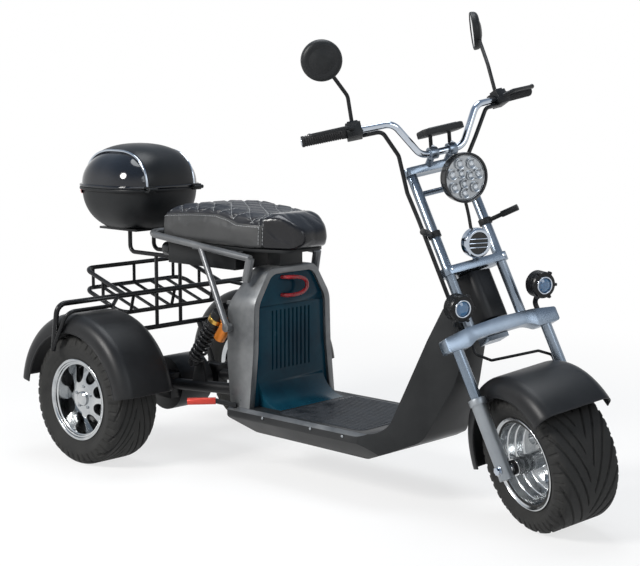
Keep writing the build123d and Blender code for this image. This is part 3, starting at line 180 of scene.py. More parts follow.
def softened(rows, steps):
    # rows of point and corner radius become points with an arc at each corner
    path = []
    for index, (spot, radius) in enumerate(rows):
        spot = Vector(spot)
        if radius == 0 or index in (0, len(rows) - 1):
            path.append(spot)
            continue
        back = Vector(rows[index - 1][0]) - spot
        ahead = Vector(rows[index + 1][0]) - spot
        turn = back.angle(ahead)
        reach = min(radius / math.tan(turn / 2), cornerShare * back.length, cornerShare * ahead.length)
        radius = reach * math.tan(turn / 2)
        back.normalize()
        ahead.normalize()
        centre = spot + (back + ahead).normalized() * (radius / math.sin(turn / 2))
        fromCentre = (spot + back * reach - centre).normalized()
        toCentre = (spot + ahead * reach - centre).normalized()
        for step in range(steps + 1):
            path.append(centre + fromCentre.slerp(toCentre, step / steps) * radius)
    return path


def evenly(path, count):
    points = np.array([tuple(point) for point in path])
    run = np.concatenate(([0.0], np.cumsum(np.linalg.norm(np.diff(points, axis=0), axis=1))))
    want = np.linspace(0, run[-1], count)
    return np.stack([np.interp(want, run, points[:, axis]) for axis in range(3)], axis=1)


def turned(name, path, steps):
    # a profile of radius (x) and place along the axle (y), spun about the Y axis
    deselectAll()
    bpy.ops.mesh.primitive_plane_add(size=0.01)
    piece = bpy.context.object
    piece.name = name
    bpy.ops.object.mode_set(mode="EDIT")
    bpy.ops.mesh.merge(type="CENTER")
    bpy.ops.transform.translate(value=path[0])
    for before, after in zip(path, path[1:]):
        bpy.ops.mesh.extrude_region_move(TRANSFORM_OT_translate={"value": after - before})
    bpy.ops.mesh.select_all(action="SELECT")
    bpy.ops.mesh.spin(steps=steps, angle=2 * math.pi, center=(0, 0, 0), axis=(0, 1, 0))
    bpy.ops.object.mode_set(mode="OBJECT")
    return mended(piece)


def profile(rows, steps=5):
    # rows of radius, place along the axle and corner radius
    return softened([((radius, along, 0), corner) for radius, along, corner in rows], steps)


def cordCurve(name, paths, kind):
    # a curve with one spline for each list of points
    deselectAll()
    bpy.ops.curve.primitive_nurbs_path_add()
    piece = bpy.context.object
    piece.name = name
    piece.data.splines.clear()
    for path in paths:
        spline = piece.data.splines.new(kind)
        spline.points.add(len(path) - 1)
        for point, spot in zip(spline.points, path):
            point.co = (*spot, 1)
    return piece


def roundCords(name, paths, radius, sides):
    piece = cordCurve(name, paths, "POLY")
    piece.data.bevel_depth = radius
    piece.data.bevel_resolution = sides // 4 - 1
    piece.data.use_fill_caps = True
    bpy.ops.object.convert(target="MESH")
    return bpy.context.object


def threads(name, paths, radius, sides):
    # many cords in one piece
    return smoothed(roundCords(name, paths, radius, sides), 60)


def tubeAlong(name, path, radius, sides):
    # one round cord or tube along points
    return smoothed(mended(roundCords(name, [path], radius, sides)), 50)


def smoothLine(points, count):
    # points read from a smooth spline through the control points
    guide = cordCurve("guideLine", [points], "NURBS")
    spline = guide.data.splines[0]
    spline.order_u = 3
    spline.use_endpoint_u = True
    spline.resolution_u = 12
    line = bpy.data.meshes.new_from_object(guide)
    path = [vertex.co.copy() for vertex in line.vertices]
    bpy.data.meshes.remove(line)
    bpy.data.objects.remove(guide)
    return [Vector(point) for point in evenly(path, count)]


cadGap = 0.00001  # corners of CAD triangles closer than this are one


def cadCopy(node, name):
    activate(cadNodes[node])
    bpy.ops.object.duplicate()
    piece = bpy.context.object
    piece.name = name
    del piece["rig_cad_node"]
    return piece


def cleared(*models):
    for model in models:
        bpy.data.objects.remove(model)


def repeated(model, places, name):
    # a copy of the model at each place, joined into one piece
    copies = [copied(model, name + "Copy", place) for place in places]
    cleared(model)
    return joined(copies, name)


# Shared shader groups

def nodeGroup(name, inputs, outputs):
    group = bpy.data.node_groups.new(name, "ShaderNodeTree")
    for socketName, kind, value in inputs:
        socket = group.interface.new_socket(socketName, in_out="INPUT", socket_type=kind)
        socket.default_value = value
    for socketName, kind in outputs:
        group.interface.new_socket(socketName, in_out="OUTPUT", socket_type=kind)
    entry = group.nodes.new("NodeGroupInput")
    leave = group.nodes.new("NodeGroupOutput")
    return group, entry, leave


def addNode(tree, kind, inputs=None, **settings):
    made = tree.nodes.new(kind)
    for key, value in settings.items():
        setattr(made, key, value)
    for key, value in (inputs or {}).items():
        made.inputs[key].default_value = value
    return made


def wire(tree, *rows):
    # each row: a node and its output, then a node and its input
    for source, leaving, target, entering in rows:
        tree.links.new(source.outputs[leaving], target.inputs[entering])


colourSocket = "NodeSocketColor"
numberSocket = "NodeSocketFloat"


def buildPatchGroup():
    # slow patches of tone and gloss with a fine grain, on object coordinates
    group, entry, leave = nodeGroup(
        "tonePatches",
        [("Light", colourSocket, (1, 1, 1, 1)), ("Dark", colourSocket, (0, 0, 0, 1)),
         ("Patch Scale", numberSocket, 6.0), ("Grain Scale", numberSocket, 400.0),
         ("Rough Low", numberSocket, 0.3), ("Rough High", numberSocket, 0.5)],
        [("Color", colourSocket), ("Roughness", numberSocket), ("Grain", numberSocket)])
    coords = addNode(group, "ShaderNodeTexCoord")
    patch = addNode(group, "ShaderNodeTexNoise", {"Detail": 5.0, "Roughness": 0.6})
    grain = addNode(group, "ShaderNodeTexNoise", {"Detail": 2.0})
    spread = addNode(group, "ShaderNodeMapRange", {"From Min": 0.3, "From Max": 0.7})
    mix = addNode(group, "ShaderNodeMix", data_type="RGBA")
    gloss = addNode(group, "ShaderNodeMapRange")
    wire(group,
         (coords, "Object", patch, "Vector"), (coords, "Object", grain, "Vector"),
         (entry, "Patch Scale", patch, "Scale"), (entry, "Grain Scale", grain, "Scale"),
         (patch, "Fac", spread, "Value"), (spread, "Result", mix, "Factor"),
         (entry, "Dark", mix, "A"), (entry, "Light", mix, "B"),
         (spread, "Result", gloss, "Value"), (entry, "Rough Low", gloss, "To Min"),
         (entry, "Rough High", gloss, "To Max"), (mix, "Result", leave, "Color"),
         (gloss, "Result", leave, "Roughness"), (grain, "Fac", leave, "Grain"))
    return group


patchGroup = buildPatchGroup()


def rgba(colour):
    return (*colour, 1.0)


def paint(name, light, dark, rough, patch=6.0, grain=500.0, bump=0.1, depth=0.0004, **constants):
    # a Principled finish with tone patches, gloss patches and a fine grain
    material = bpy.data.materials.new(name)
    material.use_nodes = True
    tree = material.node_tree
    surface = tree.nodes["Principled BSDF"]
    tone = addNode(tree, "ShaderNodeGroup", node_tree=patchGroup)
    values = {"Light": rgba(light), "Dark": rgba(dark), "Patch Scale": patch, "Grain Scale": grain,
              "Rough Low": rough[0], "Rough High": rough[1]}
    for key, value in values.items():
        tone.inputs[key].default_value = value
    relief = addNode(tree, "ShaderNodeBump", {"Strength": bump, "Distance": depth})
    wire(tree, (tone, "Color", surface, "Base Color"), (tone, "Roughness", surface, "Roughness"),
         (tone, "Grain", relief, "Height"), (relief, "Normal", surface, "Normal"))
    for key, value in constants.items():
        surface.inputs[key.replace("_", " ")].default_value = value
    return material


dull = {"Specular_IOR_Level": 0.22}
glossy = {"Specular_IOR_Level": 0.32}
finishRows = {
    # finish: light tone, dark tone, roughness from and to, and what differs from the usual
    "satinBlack": ((0.013, 0.014, 0.015), (0.007, 0.007, 0.008), (0.34, 0.46), dull),
    "tubeBlack": ((0.011, 0.012, 0.013), (0.006, 0.006, 0.007), (0.24, 0.36), dict(dull, grain=900.0)),
    "railGrey": ((0.150, 0.155, 0.160), (0.100, 0.104, 0.110), (0.30, 0.42), dict(Metallic=0.5)),
    "mouldedBlack": ((0.013, 0.014, 0.015), (0.007, 0.008, 0.009), (0.40, 0.52),
                     dict(dull, grain=1400.0, bump=0.25)),
    "tubGrey": ((0.022, 0.023, 0.024), (0.012, 0.013, 0.014), (0.36, 0.50), dict(dull, grain=1200.0, bump=0.2)),
    "pillarGrey": ((0.190, 0.196, 0.200), (0.085, 0.090, 0.095), (0.26, 0.42), dict(patch=9.0, Metallic=0.6)),
    "tealGloss": ((0.006, 0.050, 0.078), (0.003, 0.024, 0.044), (0.16, 0.28),
                  dict(bump=0.02, Specular_IOR_Level=0.10)),
    "lidGloss": ((0.006, 0.008, 0.012), (0.004, 0.005, 0.008), (0.06, 0.12),
                 dict(glossy, bump=0.02, Coat_Weight=0.35, Coat_Roughness=0.04)),
    "lidSatin": ((0.012, 0.013, 0.015), (0.007, 0.008, 0.009), (0.32, 0.44), dict(dull, grain=1300.0)),
    "silverPaint": ((0.25, 0.29, 0.34), (0.15, 0.19, 0.24), (0.22, 0.34), dict(Metallic=0.85)),
    "castSilver": ((0.32, 0.34, 0.36), (0.22, 0.24, 0.26), (0.36, 0.48),
                   dict(grain=300.0, bump=0.3, Metallic=0.8)),
    "chrome": ((0.58, 0.62, 0.67), (0.40, 0.45, 0.52), (0.05, 0.12), dict(bump=0.02, Metallic=1.0)),
    "polishedAlloy": ((0.60, 0.61, 0.61), (0.36, 0.38, 0.40), (0.12, 0.24),
                      dict(patch=11.0, bump=0.03, Metallic=1.0)),
    "tyreRubber": ((0.026, 0.026, 0.025), (0.012, 0.012, 0.012), (0.60, 0.80),
                   dict(dull, patch=14.0, grain=700.0, bump=0.4, depth=0.0008)),
    "gripRubber": ((0.018, 0.018, 0.019), (0.010, 0.010, 0.011), (0.50, 0.65), dict(dull, bump=0.3)),
    "matRubber": ((0.034, 0.038, 0.044), (0.009, 0.011, 0.014), (0.34, 0.60),
                  dict(dull, patch=22.0, grain=260.0, bump=0.5, depth=0.0012)),
    "redPlastic": ((0.36, 0.022, 0.028), (0.24, 0.012, 0.016), (0.22, 0.36), {}),
    "redMetal": ((0.50, 0.045, 0.028), (0.36, 0.026, 0.018), (0.26, 0.38), dict(Metallic=0.4)),
    "orangeMetal": ((0.62, 0.20, 0.026), (0.46, 0.13, 0.016), (0.22, 0.34), dict(Metallic=0.5)),
    "goldMetal": ((0.66, 0.42, 0.10), (0.50, 0.30, 0.07), (0.20, 0.30), dict(Metallic=0.9)),
    "redReflector": ((0.55, 0.018, 0.026), (0.38, 0.010, 0.016), (0.08, 0.16),
                     dict(grain=220.0, bump=0.5, Coat_Weight=0.6)),
    "blackGloss": ((0.008, 0.009, 0.010), (0.004, 0.005, 0.006), (0.10, 0.20),
                   dict(glossy, bump=0.03, Coat_Weight=0.25, Coat_Roughness=0.06)),
    "thread": ((0.34, 0.35, 0.36), (0.24, 0.25, 0.26), (0.60, 0.75), dict(grain=3000.0, bump=0.4)),
    "blueLens": ((0.080, 0.220, 0.400), (0.030, 0.090, 0.190), (0.04, 0.08), dict(bump=0.0, Coat_Weight=0.8)),
    # seat sides below the seam: plain leather, with a lighter grey that is partly painted sunlight on the sides
    "seatSideLitLeather": ((0.046, 0.047, 0.048), (0.030, 0.031, 0.032), (0.36, 0.50),
                    dict(glossy, patch=10.0, grain=620.0, bump=0.5, depth=0.0007)),
    "seatGloss": ((0.008, 0.008, 0.010), (0.005, 0.005, 0.006), (0.18, 0.28),
                  dict(glossy, grain=900.0, bump=0.12, Coat_Weight=0.15, Coat_Roughness=0.12)),
    "seatQuilt": ((0.014, 0.016, 0.021), (0.008, 0.009, 0.013), (0.34, 0.46),
                  dict(glossy, patch=10.0, grain=620.0, bump=0.5, depth=0.0007)),
    "lampWhite": ((0.80, 0.83, 0.86), (0.66, 0.70, 0.74), (0.05, 0.10), dict(bump=0.0, Coat_Weight=0.8)),
    "mirrorGlass": ((0.80, 0.83, 0.86), (0.74, 0.77, 0.80), (0.01, 0.03), dict(bump=0.0, Metallic=1.0)),
    "screenGlass": ((0.010, 0.014, 0.020), (0.004, 0.006, 0.010), (0.03, 0.07),
                    dict(bump=0.0, Coat_Weight=0.8)),
    "lampSilver": ((0.46, 0.48, 0.50), (0.30, 0.32, 0.34), (0.16, 0.26), dict(Metallic=0.85)),
}
finishes = {name: paint(name, *tones, **more) for name, (*tones, more) in finishRows.items()}
print("finishes made:", len(finishes))


def finished(piece, body, finish, *replaced, slot=None):
    piece.data.materials.clear()
    piece.data.materials.append(finishes[finish])
    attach(piece, body)
    if replaced:
        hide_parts(*replaced)
    return piece


# Camera, floor and light

view = {"spot": (3.5175, -3.7825, 1.3765), "tilt": 82.08, "turn": 43.125, "lens": 87.08, "sensor": 36.0,
        "far": 200}
bpy.ops.object.camera_add(location=view["spot"],
                          rotation=(math.radians(view["tilt"]), 0, math.radians(view["turn"])))
camera = bpy.context.object
camera.data.lens = view["lens"]
camera.data.sensor_width = view["sensor"]
camera.data.clip_end = view["far"]
bpy.context.scene.camera = camera
bpy.context.scene.view_settings.view_transform = "Standard"

studio = {
    "floor": (0.80, 0.80, 0.80), "floorSize": 120, "floorRough": 0.9, "backdrop": (1.0, 1.0, 1.0),
    "overhead": (0.30, 0.37, 0.47), "overheadFrom": 0.12, "overheadTo": 0.75, "light": 0.42,
    "fadeFrom": 1.2, "fadeTo": 3.4, "whiteNear": 0.72,
}
lamps = [
    # name, place, aim, size, power, colour
    ("keyBox", (-1.2, -5.4, 4.2), (0.0, 0.0, 0.5), 2.2, 460, (1.0, 0.98, 0.95)),
    ("sideBox", (5.2, -0.6, 3.4), (0.4, 0.0, 0.6), 2.6, 60, (0.92, 0.96, 1.0)),
    ("topBox", (-0.6, 0.6, 5.2), (0.0, 0.0, 0.5), 3.2, 150, (0.95, 0.98, 1.0)),
]


def directRays(tree):
    # one for the rays that show the backdrop itself: camera, glossy and transmission
    rays = addNode(tree, "ShaderNodeLightPath")
    either = addNode(tree, "ShaderNodeMath", operation="MAXIMUM")
    anyRay = addNode(tree, "ShaderNodeMath", operation="MAXIMUM")
    wire(tree, (rays, "Is Camera Ray", either, 0), (rays, "Is Glossy Ray", either, 1),
         (either, 0, anyRay, 0), (rays, "Is Transmission Ray", anyRay, 1))
    return anyRay


def buildStage():
    deselectAll()
    bpy.ops.mesh.primitive_plane_add(size=studio["floorSize"])
    floor = bpy.context.object
    floor.name = "studioFloor"
    material = bpy.data.materials.new("paleFloor")
    material.use_nodes = True
    tree = material.node_tree
    surface = tree.nodes["Principled BSDF"]
    surface.inputs["Base Color"].default_value = rgba(studio["floor"])
    surface.inputs["Roughness"].default_value = studio["floorRough"]
    glow = addNode(tree, "ShaderNodeEmission", {"Color": rgba(studio["backdrop"])})
    seen = directRays(tree)
    share = addNode(tree, "ShaderNodeMath", operation="MULTIPLY")
    coords = addNode(tree, "ShaderNodeTexCoord")
    reach = addNode(tree, "ShaderNodeVectorMath", operation="LENGTH")
    limits = {"From Min": studio["fadeFrom"], "From Max": studio["fadeTo"], "To Min": studio["whiteNear"]}
    fade = addNode(tree, "ShaderNodeMapRange", limits, interpolation_type="SMOOTHSTEP")
    blend = addNode(tree, "ShaderNodeMixShader")
    wire(tree, (coords, "Object", reach, 0), (reach, "Value", fade, "Value"), (fade, "Result", share, 1),
         (seen, 0, share, 0), (share, 0, blend, "Fac"), (surface, "BSDF", blend, 1),
         (glow, "Emission", blend, 2), (blend, "Shader", tree.nodes["Material Output"], "Surface"))
    floor.data.materials.append(material)
    for name, place, aim, size, power, colour in lamps:
        bpy.ops.object.light_add(type="AREA", location=place)
        lamp = bpy.context.object
        lamp.name = name
        lamp.data.shape = "DISK"
        lamp.data.size = size
        lamp.data.energy = power
        lamp.data.color = colour
        lamp.rotation_euler = (Vector(aim) - Vector(place)).to_track_quat("-Z", "Y").to_euler()


def buildWorld():
    world = bpy.data.worlds.new("paleStudio")
    bpy.context.scene.world = world
    world.use_nodes = True
    tree = world.node_tree
    tree.nodes.clear()
    coords = addNode(tree, "ShaderNodeTexCoord")
    height = addNode(tree, "ShaderNodeSeparateXYZ")
    limits = {"From Min": studio["overheadFrom"], "From Max": studio["overheadTo"]}
    rise = addNode(tree, "ShaderNodeMapRange", limits, interpolation_type="SMOOTHSTEP")
    tones = {"A": rgba(studio["backdrop"]), "B": rgba(studio["overhead"])}
    tint = addNode(tree, "ShaderNodeMix", tones, data_type="RGBA")
    rays = directRays(tree)
    seen = addNode(tree, "ShaderNodeBackground", {"Strength": 1.0})
    lit = addNode(tree, "ShaderNodeBackground", {"Strength": studio["light"]})
    blend = addNode(tree, "ShaderNodeMixShader")
    leave = addNode(tree, "ShaderNodeOutputWorld")
    wire(tree, (coords, "Generated", height, "Vector"), (height, "Z", rise, "Value"),
         (rise, "Result", tint, "Factor"), (tint, "Result", seen, "Color"), (tint, "Result", lit, "Color"),
         (rays, 0, blend, "Fac"), (lit, "Background", blend, 1), (seen, "Background", blend, 2),
         (blend, "Shader", leave, "Surface"))


buildStage()
buildWorld()
print("stage set")


# Places in millimetres: on the body from the rear axle, and on the turned fork

upright = Vector((0, 0, 1))
toLeft = Vector((0, 1, 0))
axleAhead = 47.0  # front axle ahead of the steering axis
rake = steerUp.angle(upright)
steeredPlace = frontPlace @ Matrix.Translation((-axleAhead / 1000, 0, 0))


def at(x, y, z):
    return Vector((axleX + x / 1000, y / 1000, z / 1000))


def onFork(n, y, s):
    return steeredPlace @ (Vector((n, y, s)) / 1000)


def forkWay(n, y, s):
    return (steeredPlace.to_3x3() @ Vector((n, y, s))).normalized()


def aimed(origin, way, side=upright):
    # a place whose Y axis looks along way
    ahead = way.normalized()
    right = ahead.cross(side).normalized()
    place = Matrix((right, ahead, right.cross(ahead))).transposed().to_4x4()
    place.translation = origin
    return place


def slab(name, size, edge, segments=2):
    # a bevelled block about the origin
    deselectAll()
    bpy.ops.mesh.primitive_cube_add(size=1)
    piece = bpy.context.object
    piece.name = name
    piece.scale = [length / 1000 for length in size]
    bpy.ops.object.transform_apply(location=False, rotation=False, scale=True)
    bevelled(piece, edge / 1000, segments)
    return smoothed(piece, 40)


def discs(name, rows, steps=64):
    # a round piece from rows of radius, place along its axis and corner radius
    return smoothed(turned(name, profile(rows), steps), 40)


bolt = {"washer": 1.35, "washerHigh": 1.8, "headEdge": 0.6, "washerEdge": 0.5}
boltSide = Vector((0.3, 0.2, 0.93))  # a way that no bolt looks


def hexBolt(name, radius, height):
    # a hexagon head and a washer, turned to look along Y
    parts = []
    for sides, wide, high, edge, segments in (
            (6, radius, height, bolt["headEdge"], 2),
            (24, bolt["washer"] * radius, bolt["washerHigh"], bolt["washerEdge"], 1)):
        deselectAll()
        bpy.ops.mesh.primitive_cylinder_add(vertices=sides, radius=wide / 1000, depth=high / 1000,
                                            location=(0, 0, high / 2000))
        parts.append(bevelled(bpy.context.object, edge / 1000, segments))
    piece = joined(parts, name)
    activate(piece)
    piece.rotation_euler = (-math.pi / 2, 0, 0)
    bpy.ops.object.transform_apply(location=True, rotation=True, scale=True)
    return smoothed(piece, 35)


def setBolts(name, spots, radius, height, body, finish, slot):
    # copies of one bolt at each place with the way it looks
    places = [aimed(spot, way, boltSide) for spot, way in spots]
    finished(repeated(hexBolt(name, radius, height), places, name), body, finish, slot=slot)


# Tyres: one closed section swept round, with cut grooves

tyreShape = {
    "seat": 0.1273, "flange": 0.1445, "flangeSoft": 0.004, "bulge": 0.042, "shoulder": 0.030, "beadSoft": 0.005,
    "wallSoft": 0.026, "treadFrom": 0.030, "columns": 420, "seatRows": 6, "wallRows": 16, "treadRows": 104,
    # swept grooves: plain middle, run, width, and where they start below the crown
    "grooveDepth": 0.0048, "plainMiddle": (0.007, 0.010), "plainEdge": 0.012, "grooveFar": 1.15,
    "grooveCurve": 0.85, "grooveSlant": 0.42, "grooveHalf": (0.0026, 0.0046), "grooveFrom": (-0.022, -0.012),
    # notches at the shoulder, between two heights below the crown
    "notches": 44, "notchDepth": 0.0034, "notchHalf": (0.10, 0.17), "notchFrom": (-0.040, -0.034),
    "notchTo": (-0.008, -0.004),
    # raised rings on the wall
    "ringDepth": 0.0009, "ringStart": 0.150, "ringPitch": 0.0075, "ringFrom": (0.1495, 0.151),
    "ringTo": (0.170, 0.173),
}
tyreRows = {
    # node: body, place, radius, width, tread width, bead half, arms, sweep in degrees
    "tyre_front": ("front_wheel", frontPlace, 0.2170, 0.225, 0.196, 0.0927, 16, 62),
    "tyre_rear_left": ("rear_wheel_left", leftPlace, 0.2295, 0.205, 0.174, 0.0827, 16, 70),
    "tyre_rear_right": ("rear_wheel_right", rightPlace, 0.2295, 0.205, 0.174, 0.0827, 16, 70),
}


def tyreSection(radius, width, tread, bead):
    shape = tyreShape
    outside = softened([
        ((shape["seat"], bead, 0), 0), ((shape["flange"], bead, 0), shape["beadSoft"]),
        ((radius - shape["bulge"], width / 2, 0), shape["wallSoft"]),
        ((radius, tread / 2, 0), shape["shoulder"]),
        ((radius, 0, 0), 0)], 10)
    outside = np.array([tuple(point) for point in outside])
    run = np.concatenate(([0.0], np.cumsum(np.linalg.norm(np.diff(outside, axis=0), axis=1))))
    split = run[np.argmax(outside[:, 0] > radius - shape["treadFrom"])]
    want = np.concatenate((np.linspace(0, split, shape["wallRows"], endpoint=False),
                           np.linspace(split, run[-1], shape["treadRows"] // 2)))
    half = np.stack([np.interp(want, run, outside[:, axis]) for axis in range(2)], axis=1)
    other = half[::-1][1:] * (1, -1)
    under = np.stack([np.full(shape["seatRows"], shape["seat"]),
                      np.linspace(-bead, bead, shape["seatRows"] + 2)[1:-1]], axis=1)
    return np.concatenate((half, other, under, half[:1]))


def step(value, low, high):
    part = np.clip((value - low) / (high - low), 0, 1)
    return part * part * (3 - 2 * part)


def buildTyre(node, body, place, radius, width, tread, bead, arms, sweep):
    shape = tyreShape
    section = tyreSection(radius, width, tread, bead)
    slope = np.gradient(section, axis=0)
    outward = np.stack((-slope[:, 1], slope[:, 0]), axis=1)
    outward /= np.linalg.norm(outward, axis=1, keepdims=True)
    outward *= np.sign(outward[len(section) // 2 - 4, 0])

    def bend(u, v):
        turn = u * 2 * math.pi
        row = np.clip(np.round(v * (len(section) - 1)).astype(int), 0, len(section) - 1)
        out, along = section[row, 0], section[row, 1]
        side = np.abs(along)
        run = (side - shape["plainMiddle"][0]) / (tread / 2 - shape["plainEdge"])
        run = np.clip(run, 0, shape["grooveFar"]) ** shape["grooveCurve"]
        arm = u * arms - run * sweep / 360 * arms + np.where(along < 0, 0.5, 0.0)
        near = (0.5 - np.abs((arm % 1.0) - 0.5)) * 2 * math.pi * radius / arms * shape["grooveSlant"]
        groove = (1 - step(near, *shape["grooveHalf"])) * step(side, *shape["plainMiddle"])
        groove *= step(out - radius, *shape["grooveFrom"])
        notch = np.abs(((u * shape["notches"]) % 1.0) - 0.5)
        cut = (1 - step(notch, *shape["notchHalf"])) * step(out - radius, *shape["notchFrom"])
        cut *= 1 - step(out - radius, *shape["notchTo"])
        ring = np.maximum(0, np.sin((out - shape["ringStart"]) / shape["ringPitch"] * math.pi))
        ring *= step(out, *shape["ringFrom"]) * (1 - step(out, *shape["ringTo"]))
        move = -shape["grooveDepth"] * groove - shape["notchDepth"] * cut + shape["ringDepth"] * ring
        move *= step(out, shape["flange"], shape["flange"] + shape["flangeSoft"])
        far = out + outward[row, 0] * move
        return np.stack((far * np.cos(turn), along + outward[row, 1] * move, far * np.sin(turn)), axis=1)

    piece = shapedGrid(node + "_rubber", shape["columns"], len(section) - 1, bend)
    moved(piece, place)
    return finished(smoothed(piece, 38), body, "tyreRubber", node)


for node, row in tyreRows.items():
    buildTyre(node, *row)
print("tyres cut")


# Seat cushion: simulated pad, then quilting and seams

seat = {
    "voxel": 0.0065, "shrink": 0.992, "pressure": 4.0, "frames": 18, "cap": 0.006, "quilt": 84.0,
    "quiltDepth": 0.0040, "quiltWidth": 0.009, "quiltFrom": 14.0, "quiltTo": 540.0, "quiltHalf": 165.0,
    "seamDepth": 0.0030, "thread": 0.0009, "core": 0.775, "wrap": 0.125, "noseFrom": 0.420,
    "noseNarrow": 0.30, "noseDrop": 0.026, "slant": 1.35, "held": 0.012, "firstSmooth": 60, "lastSmooth": 3,
    # soft edges of the quilted field, the cross seam and the side seam
    "upperEdge": (0.002, 0.008), "fromSoft": 0.010, "toSoft": 0.004, "behindSoft": 0.002,
    "crossHalf": (0.001, 0.007), "sideHalf": (0.001, 0.006),
    # stitches: step and lift of a thread, rows, cross rows, and the row under the side seam
    "stitch": 0.0037, "lift": 0.0004, "castFrom": 0.4, "lines": range(-6, 15), "linePoints": 40,
    "lineShort": 0.008, "lineAbove": 0.004, "crossRows": (-8, 6), "crossReach": 0.21, "crossPoints": 60,
    "seamRun": (0.03, 0.53, 0.011), "seamStitch": 0.0035, "seamBelow": 0.007,
    "seam": [(12, 846), (79, 862), (211, 872), (334, 876), (389, 866), (438, 852), (559, 848), (700, 850)],
}


def quiltLines(x, y):
    # distance in metres to the nearest line of the two slanted rows
    pitch = seat["quilt"] / 1000
    rows = [(x + way * seat["slant"] * y) / pitch for way in (1, -1)]
    apart = [np.abs((row + 0.5) % 1.0 - 0.5) * pitch / math.hypot(1, seat["slant"]) for row in rows]
    return np.minimum(*apart)


def seamHeight(x):
    seamX, seamZ = np.array(seat["seam"]).T / 1000
    return np.interp(x, seamX, seamZ)


def blowUp(pad, start, heldBelow):
    # presses the pad out as cloth, with its foot held, by the cap at most
    held = pad.vertex_groups.new(name="held")
    held.add([int(index) for index in np.nonzero(start[:, 2] < heldBelow)[0]], 1.0, "REPLACE")
    cloth = pad.modifiers.new("Cloth", "CLOTH")
    cloth.settings.use_pressure = True
    cloth.settings.uniform_pressure_force = seat["pressure"]
    cloth.settings.effector_weights.gravity = 0
    cloth.settings.vertex_group_mass = "held"
    cloth.point_cache.frame_end = seat["frames"]
    scene = bpy.context.scene
    for number in range(1, seat["frames"] + 1):
        scene.frame_set(number)
    blown = pad.evaluated_get(bpy.context.evaluated_depsgraph_get()).to_mesh()
    after = np.empty(start.size)
    blown.vertices.foreach_get("co", after)
    shift = after.reshape(-1, 3) - start
    reach = np.linalg.norm(shift, axis=1, keepdims=True)
    shift *= np.minimum(1.0, seat["cap"] / np.maximum(reach, 1e-9))
    pad.modifiers.remove(cloth)
    pad.data.vertices.foreach_set("co", (start + shift).astype(np.float32).ravel())
    scene.frame_set(1)


def creased(pad):
    # quilting, the cross seam and the side seam, pressed in along the normals
    count = len(pad.data.vertices)
    spots = np.empty(count * 3)
    ways = np.empty(count * 3)
    pad.data.vertices.foreach_get("co", spots)
    pad.data.vertex_normals.foreach_get("vector", ways)
    spots = spots.reshape(-1, 3)
    ways = ways.reshape(-1, 3)
    x = spots[:, 0] - axleX
    wrapped = np.arctan2(spots[:, 1], spots[:, 2] - seat["core"]) * seat["wrap"]
    aboveSeam = spots[:, 2] - seamHeight(x)
    start, end = seat["quiltFrom"] / 1000, seat["quiltTo"] / 1000
    inside = step(x, start - seat["fromSoft"], start + seat["fromSoft"])
    inside *= 1 - step(x, end - seat["toSoft"], end + seat["toSoft"])
    valley = 1 - step(quiltLines(x, wrapped), 0.0, seat["quiltWidth"])
    valley *= step(aboveSeam, *seat["upperEdge"]) * inside
    valley = np.maximum(valley, 1 - step(np.abs(x - end), *seat["crossHalf"]))
    behind = 1 - step(x, end - seat["behindSoft"], end + seat["behindSoft"])
    sideSeam = (1 - step(np.abs(aboveSeam), *seat["sideHalf"])) * behind
    deep = np.maximum(valley * seat["quiltDepth"], sideSeam * seat["seamDepth"])
    pad.data.vertices.foreach_set("co", (spots - ways * deep[:, None]).astype(np.float32).ravel())
    return smoothed(pad, 180)


def buildCushion():
    pad = mended(cadCopy("seat_cushion", "seatPad"), cadGap)
    low, high = [Vector(corner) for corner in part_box("seat_cushion")]
    middle = (low + high) / 2
    middle.z = low.z
    shrunk = Matrix.Scale(seat["shrink"], 4)
    pad.data.transform(Matrix.Translation(middle) @ shrunk @ Matrix.Translation(-middle))
    pad.data.remesh_voxel_size = seat["voxel"]
    activate(pad)
    bpy.ops.object.voxel_remesh()
    start = np.empty(len(pad.data.vertices) * 3)
    pad.data.vertices.foreach_get("co", start)
    start = start.reshape(-1, 3)
    ahead = np.clip((start[:, 0] - axleX - seat["noseFrom"]) / (high.x - axleX - seat["noseFrom"]), 0, 1) ** 2
    start[:, 1] *= 1 - seat["noseNarrow"] * ahead
    start[:, 2] -= seat["noseDrop"] * ahead * np.clip((start[:, 2] - low.z) / (high.z - low.z), 0, 1)
    pad.data.vertices.foreach_set("co", start.astype(np.float32).ravel())
    applyModifier(pad, "SMOOTH", factor=0.5, iterations=seat["firstSmooth"])
    pad.data.vertices.foreach_get("co", start.ravel())
    blowUp(pad, start, low.z + seat["held"])
    applyModifier(pad, "SMOOTH", factor=0.5, iterations=seat["lastSmooth"])
    applyModifier(pad, "SUBSURF", levels=1, render_levels=1)
    creased(pad)
    # the side panel's lighter grey is painted sunlight; the quilted top and the nose take darker finishes
    finished(pad, "chassis", "seatSideLitLeather", "seat_cushion")
    pad.data.materials.append(finishes["seatGloss"])
    pad.data.materials.append(finishes["seatQuilt"])
    for face in pad.data.polygons:
        run = face.center.x - axleX
        if run > seat["quiltTo"] / 1000:
            face.material_index = 1
        elif face.center.z > seamHeight(run):
            face.material_index = 2
    return pad


def laid(pad, casts, lowest=0.0):
    # where rays meet the pad, lifted by a thread's half
    spots = []
    for start, way in casts:
        hit, place, facing, face = pad.ray_cast(start, way)
        if hit and place.z > lowest:
            spots.append(place + facing * seat["lift"])
    return spots


def laidThreads(pad, lines):
    # short threads on the pad along lines of x, wrapped distance and lowest height
    paths = []
    for line in lines:
        length = sum((b - a).length for a, b in zip(line, line[1:]))
        points = evenly(line, max(3, int(length / seat["stitch"])))
        for index in range(0, len(points) - 2, 3):
            path = []
            for x, around, lowest in points[index:index + 3]:
                out = Vector((0, math.sin(around / seat["wrap"]), math.cos(around / seat["wrap"])))
                path += laid(pad, [(Vector((x, 0, seat["core"])) + out * seat["castFrom"], -out)], lowest)
            paths.append(path)
    return paths


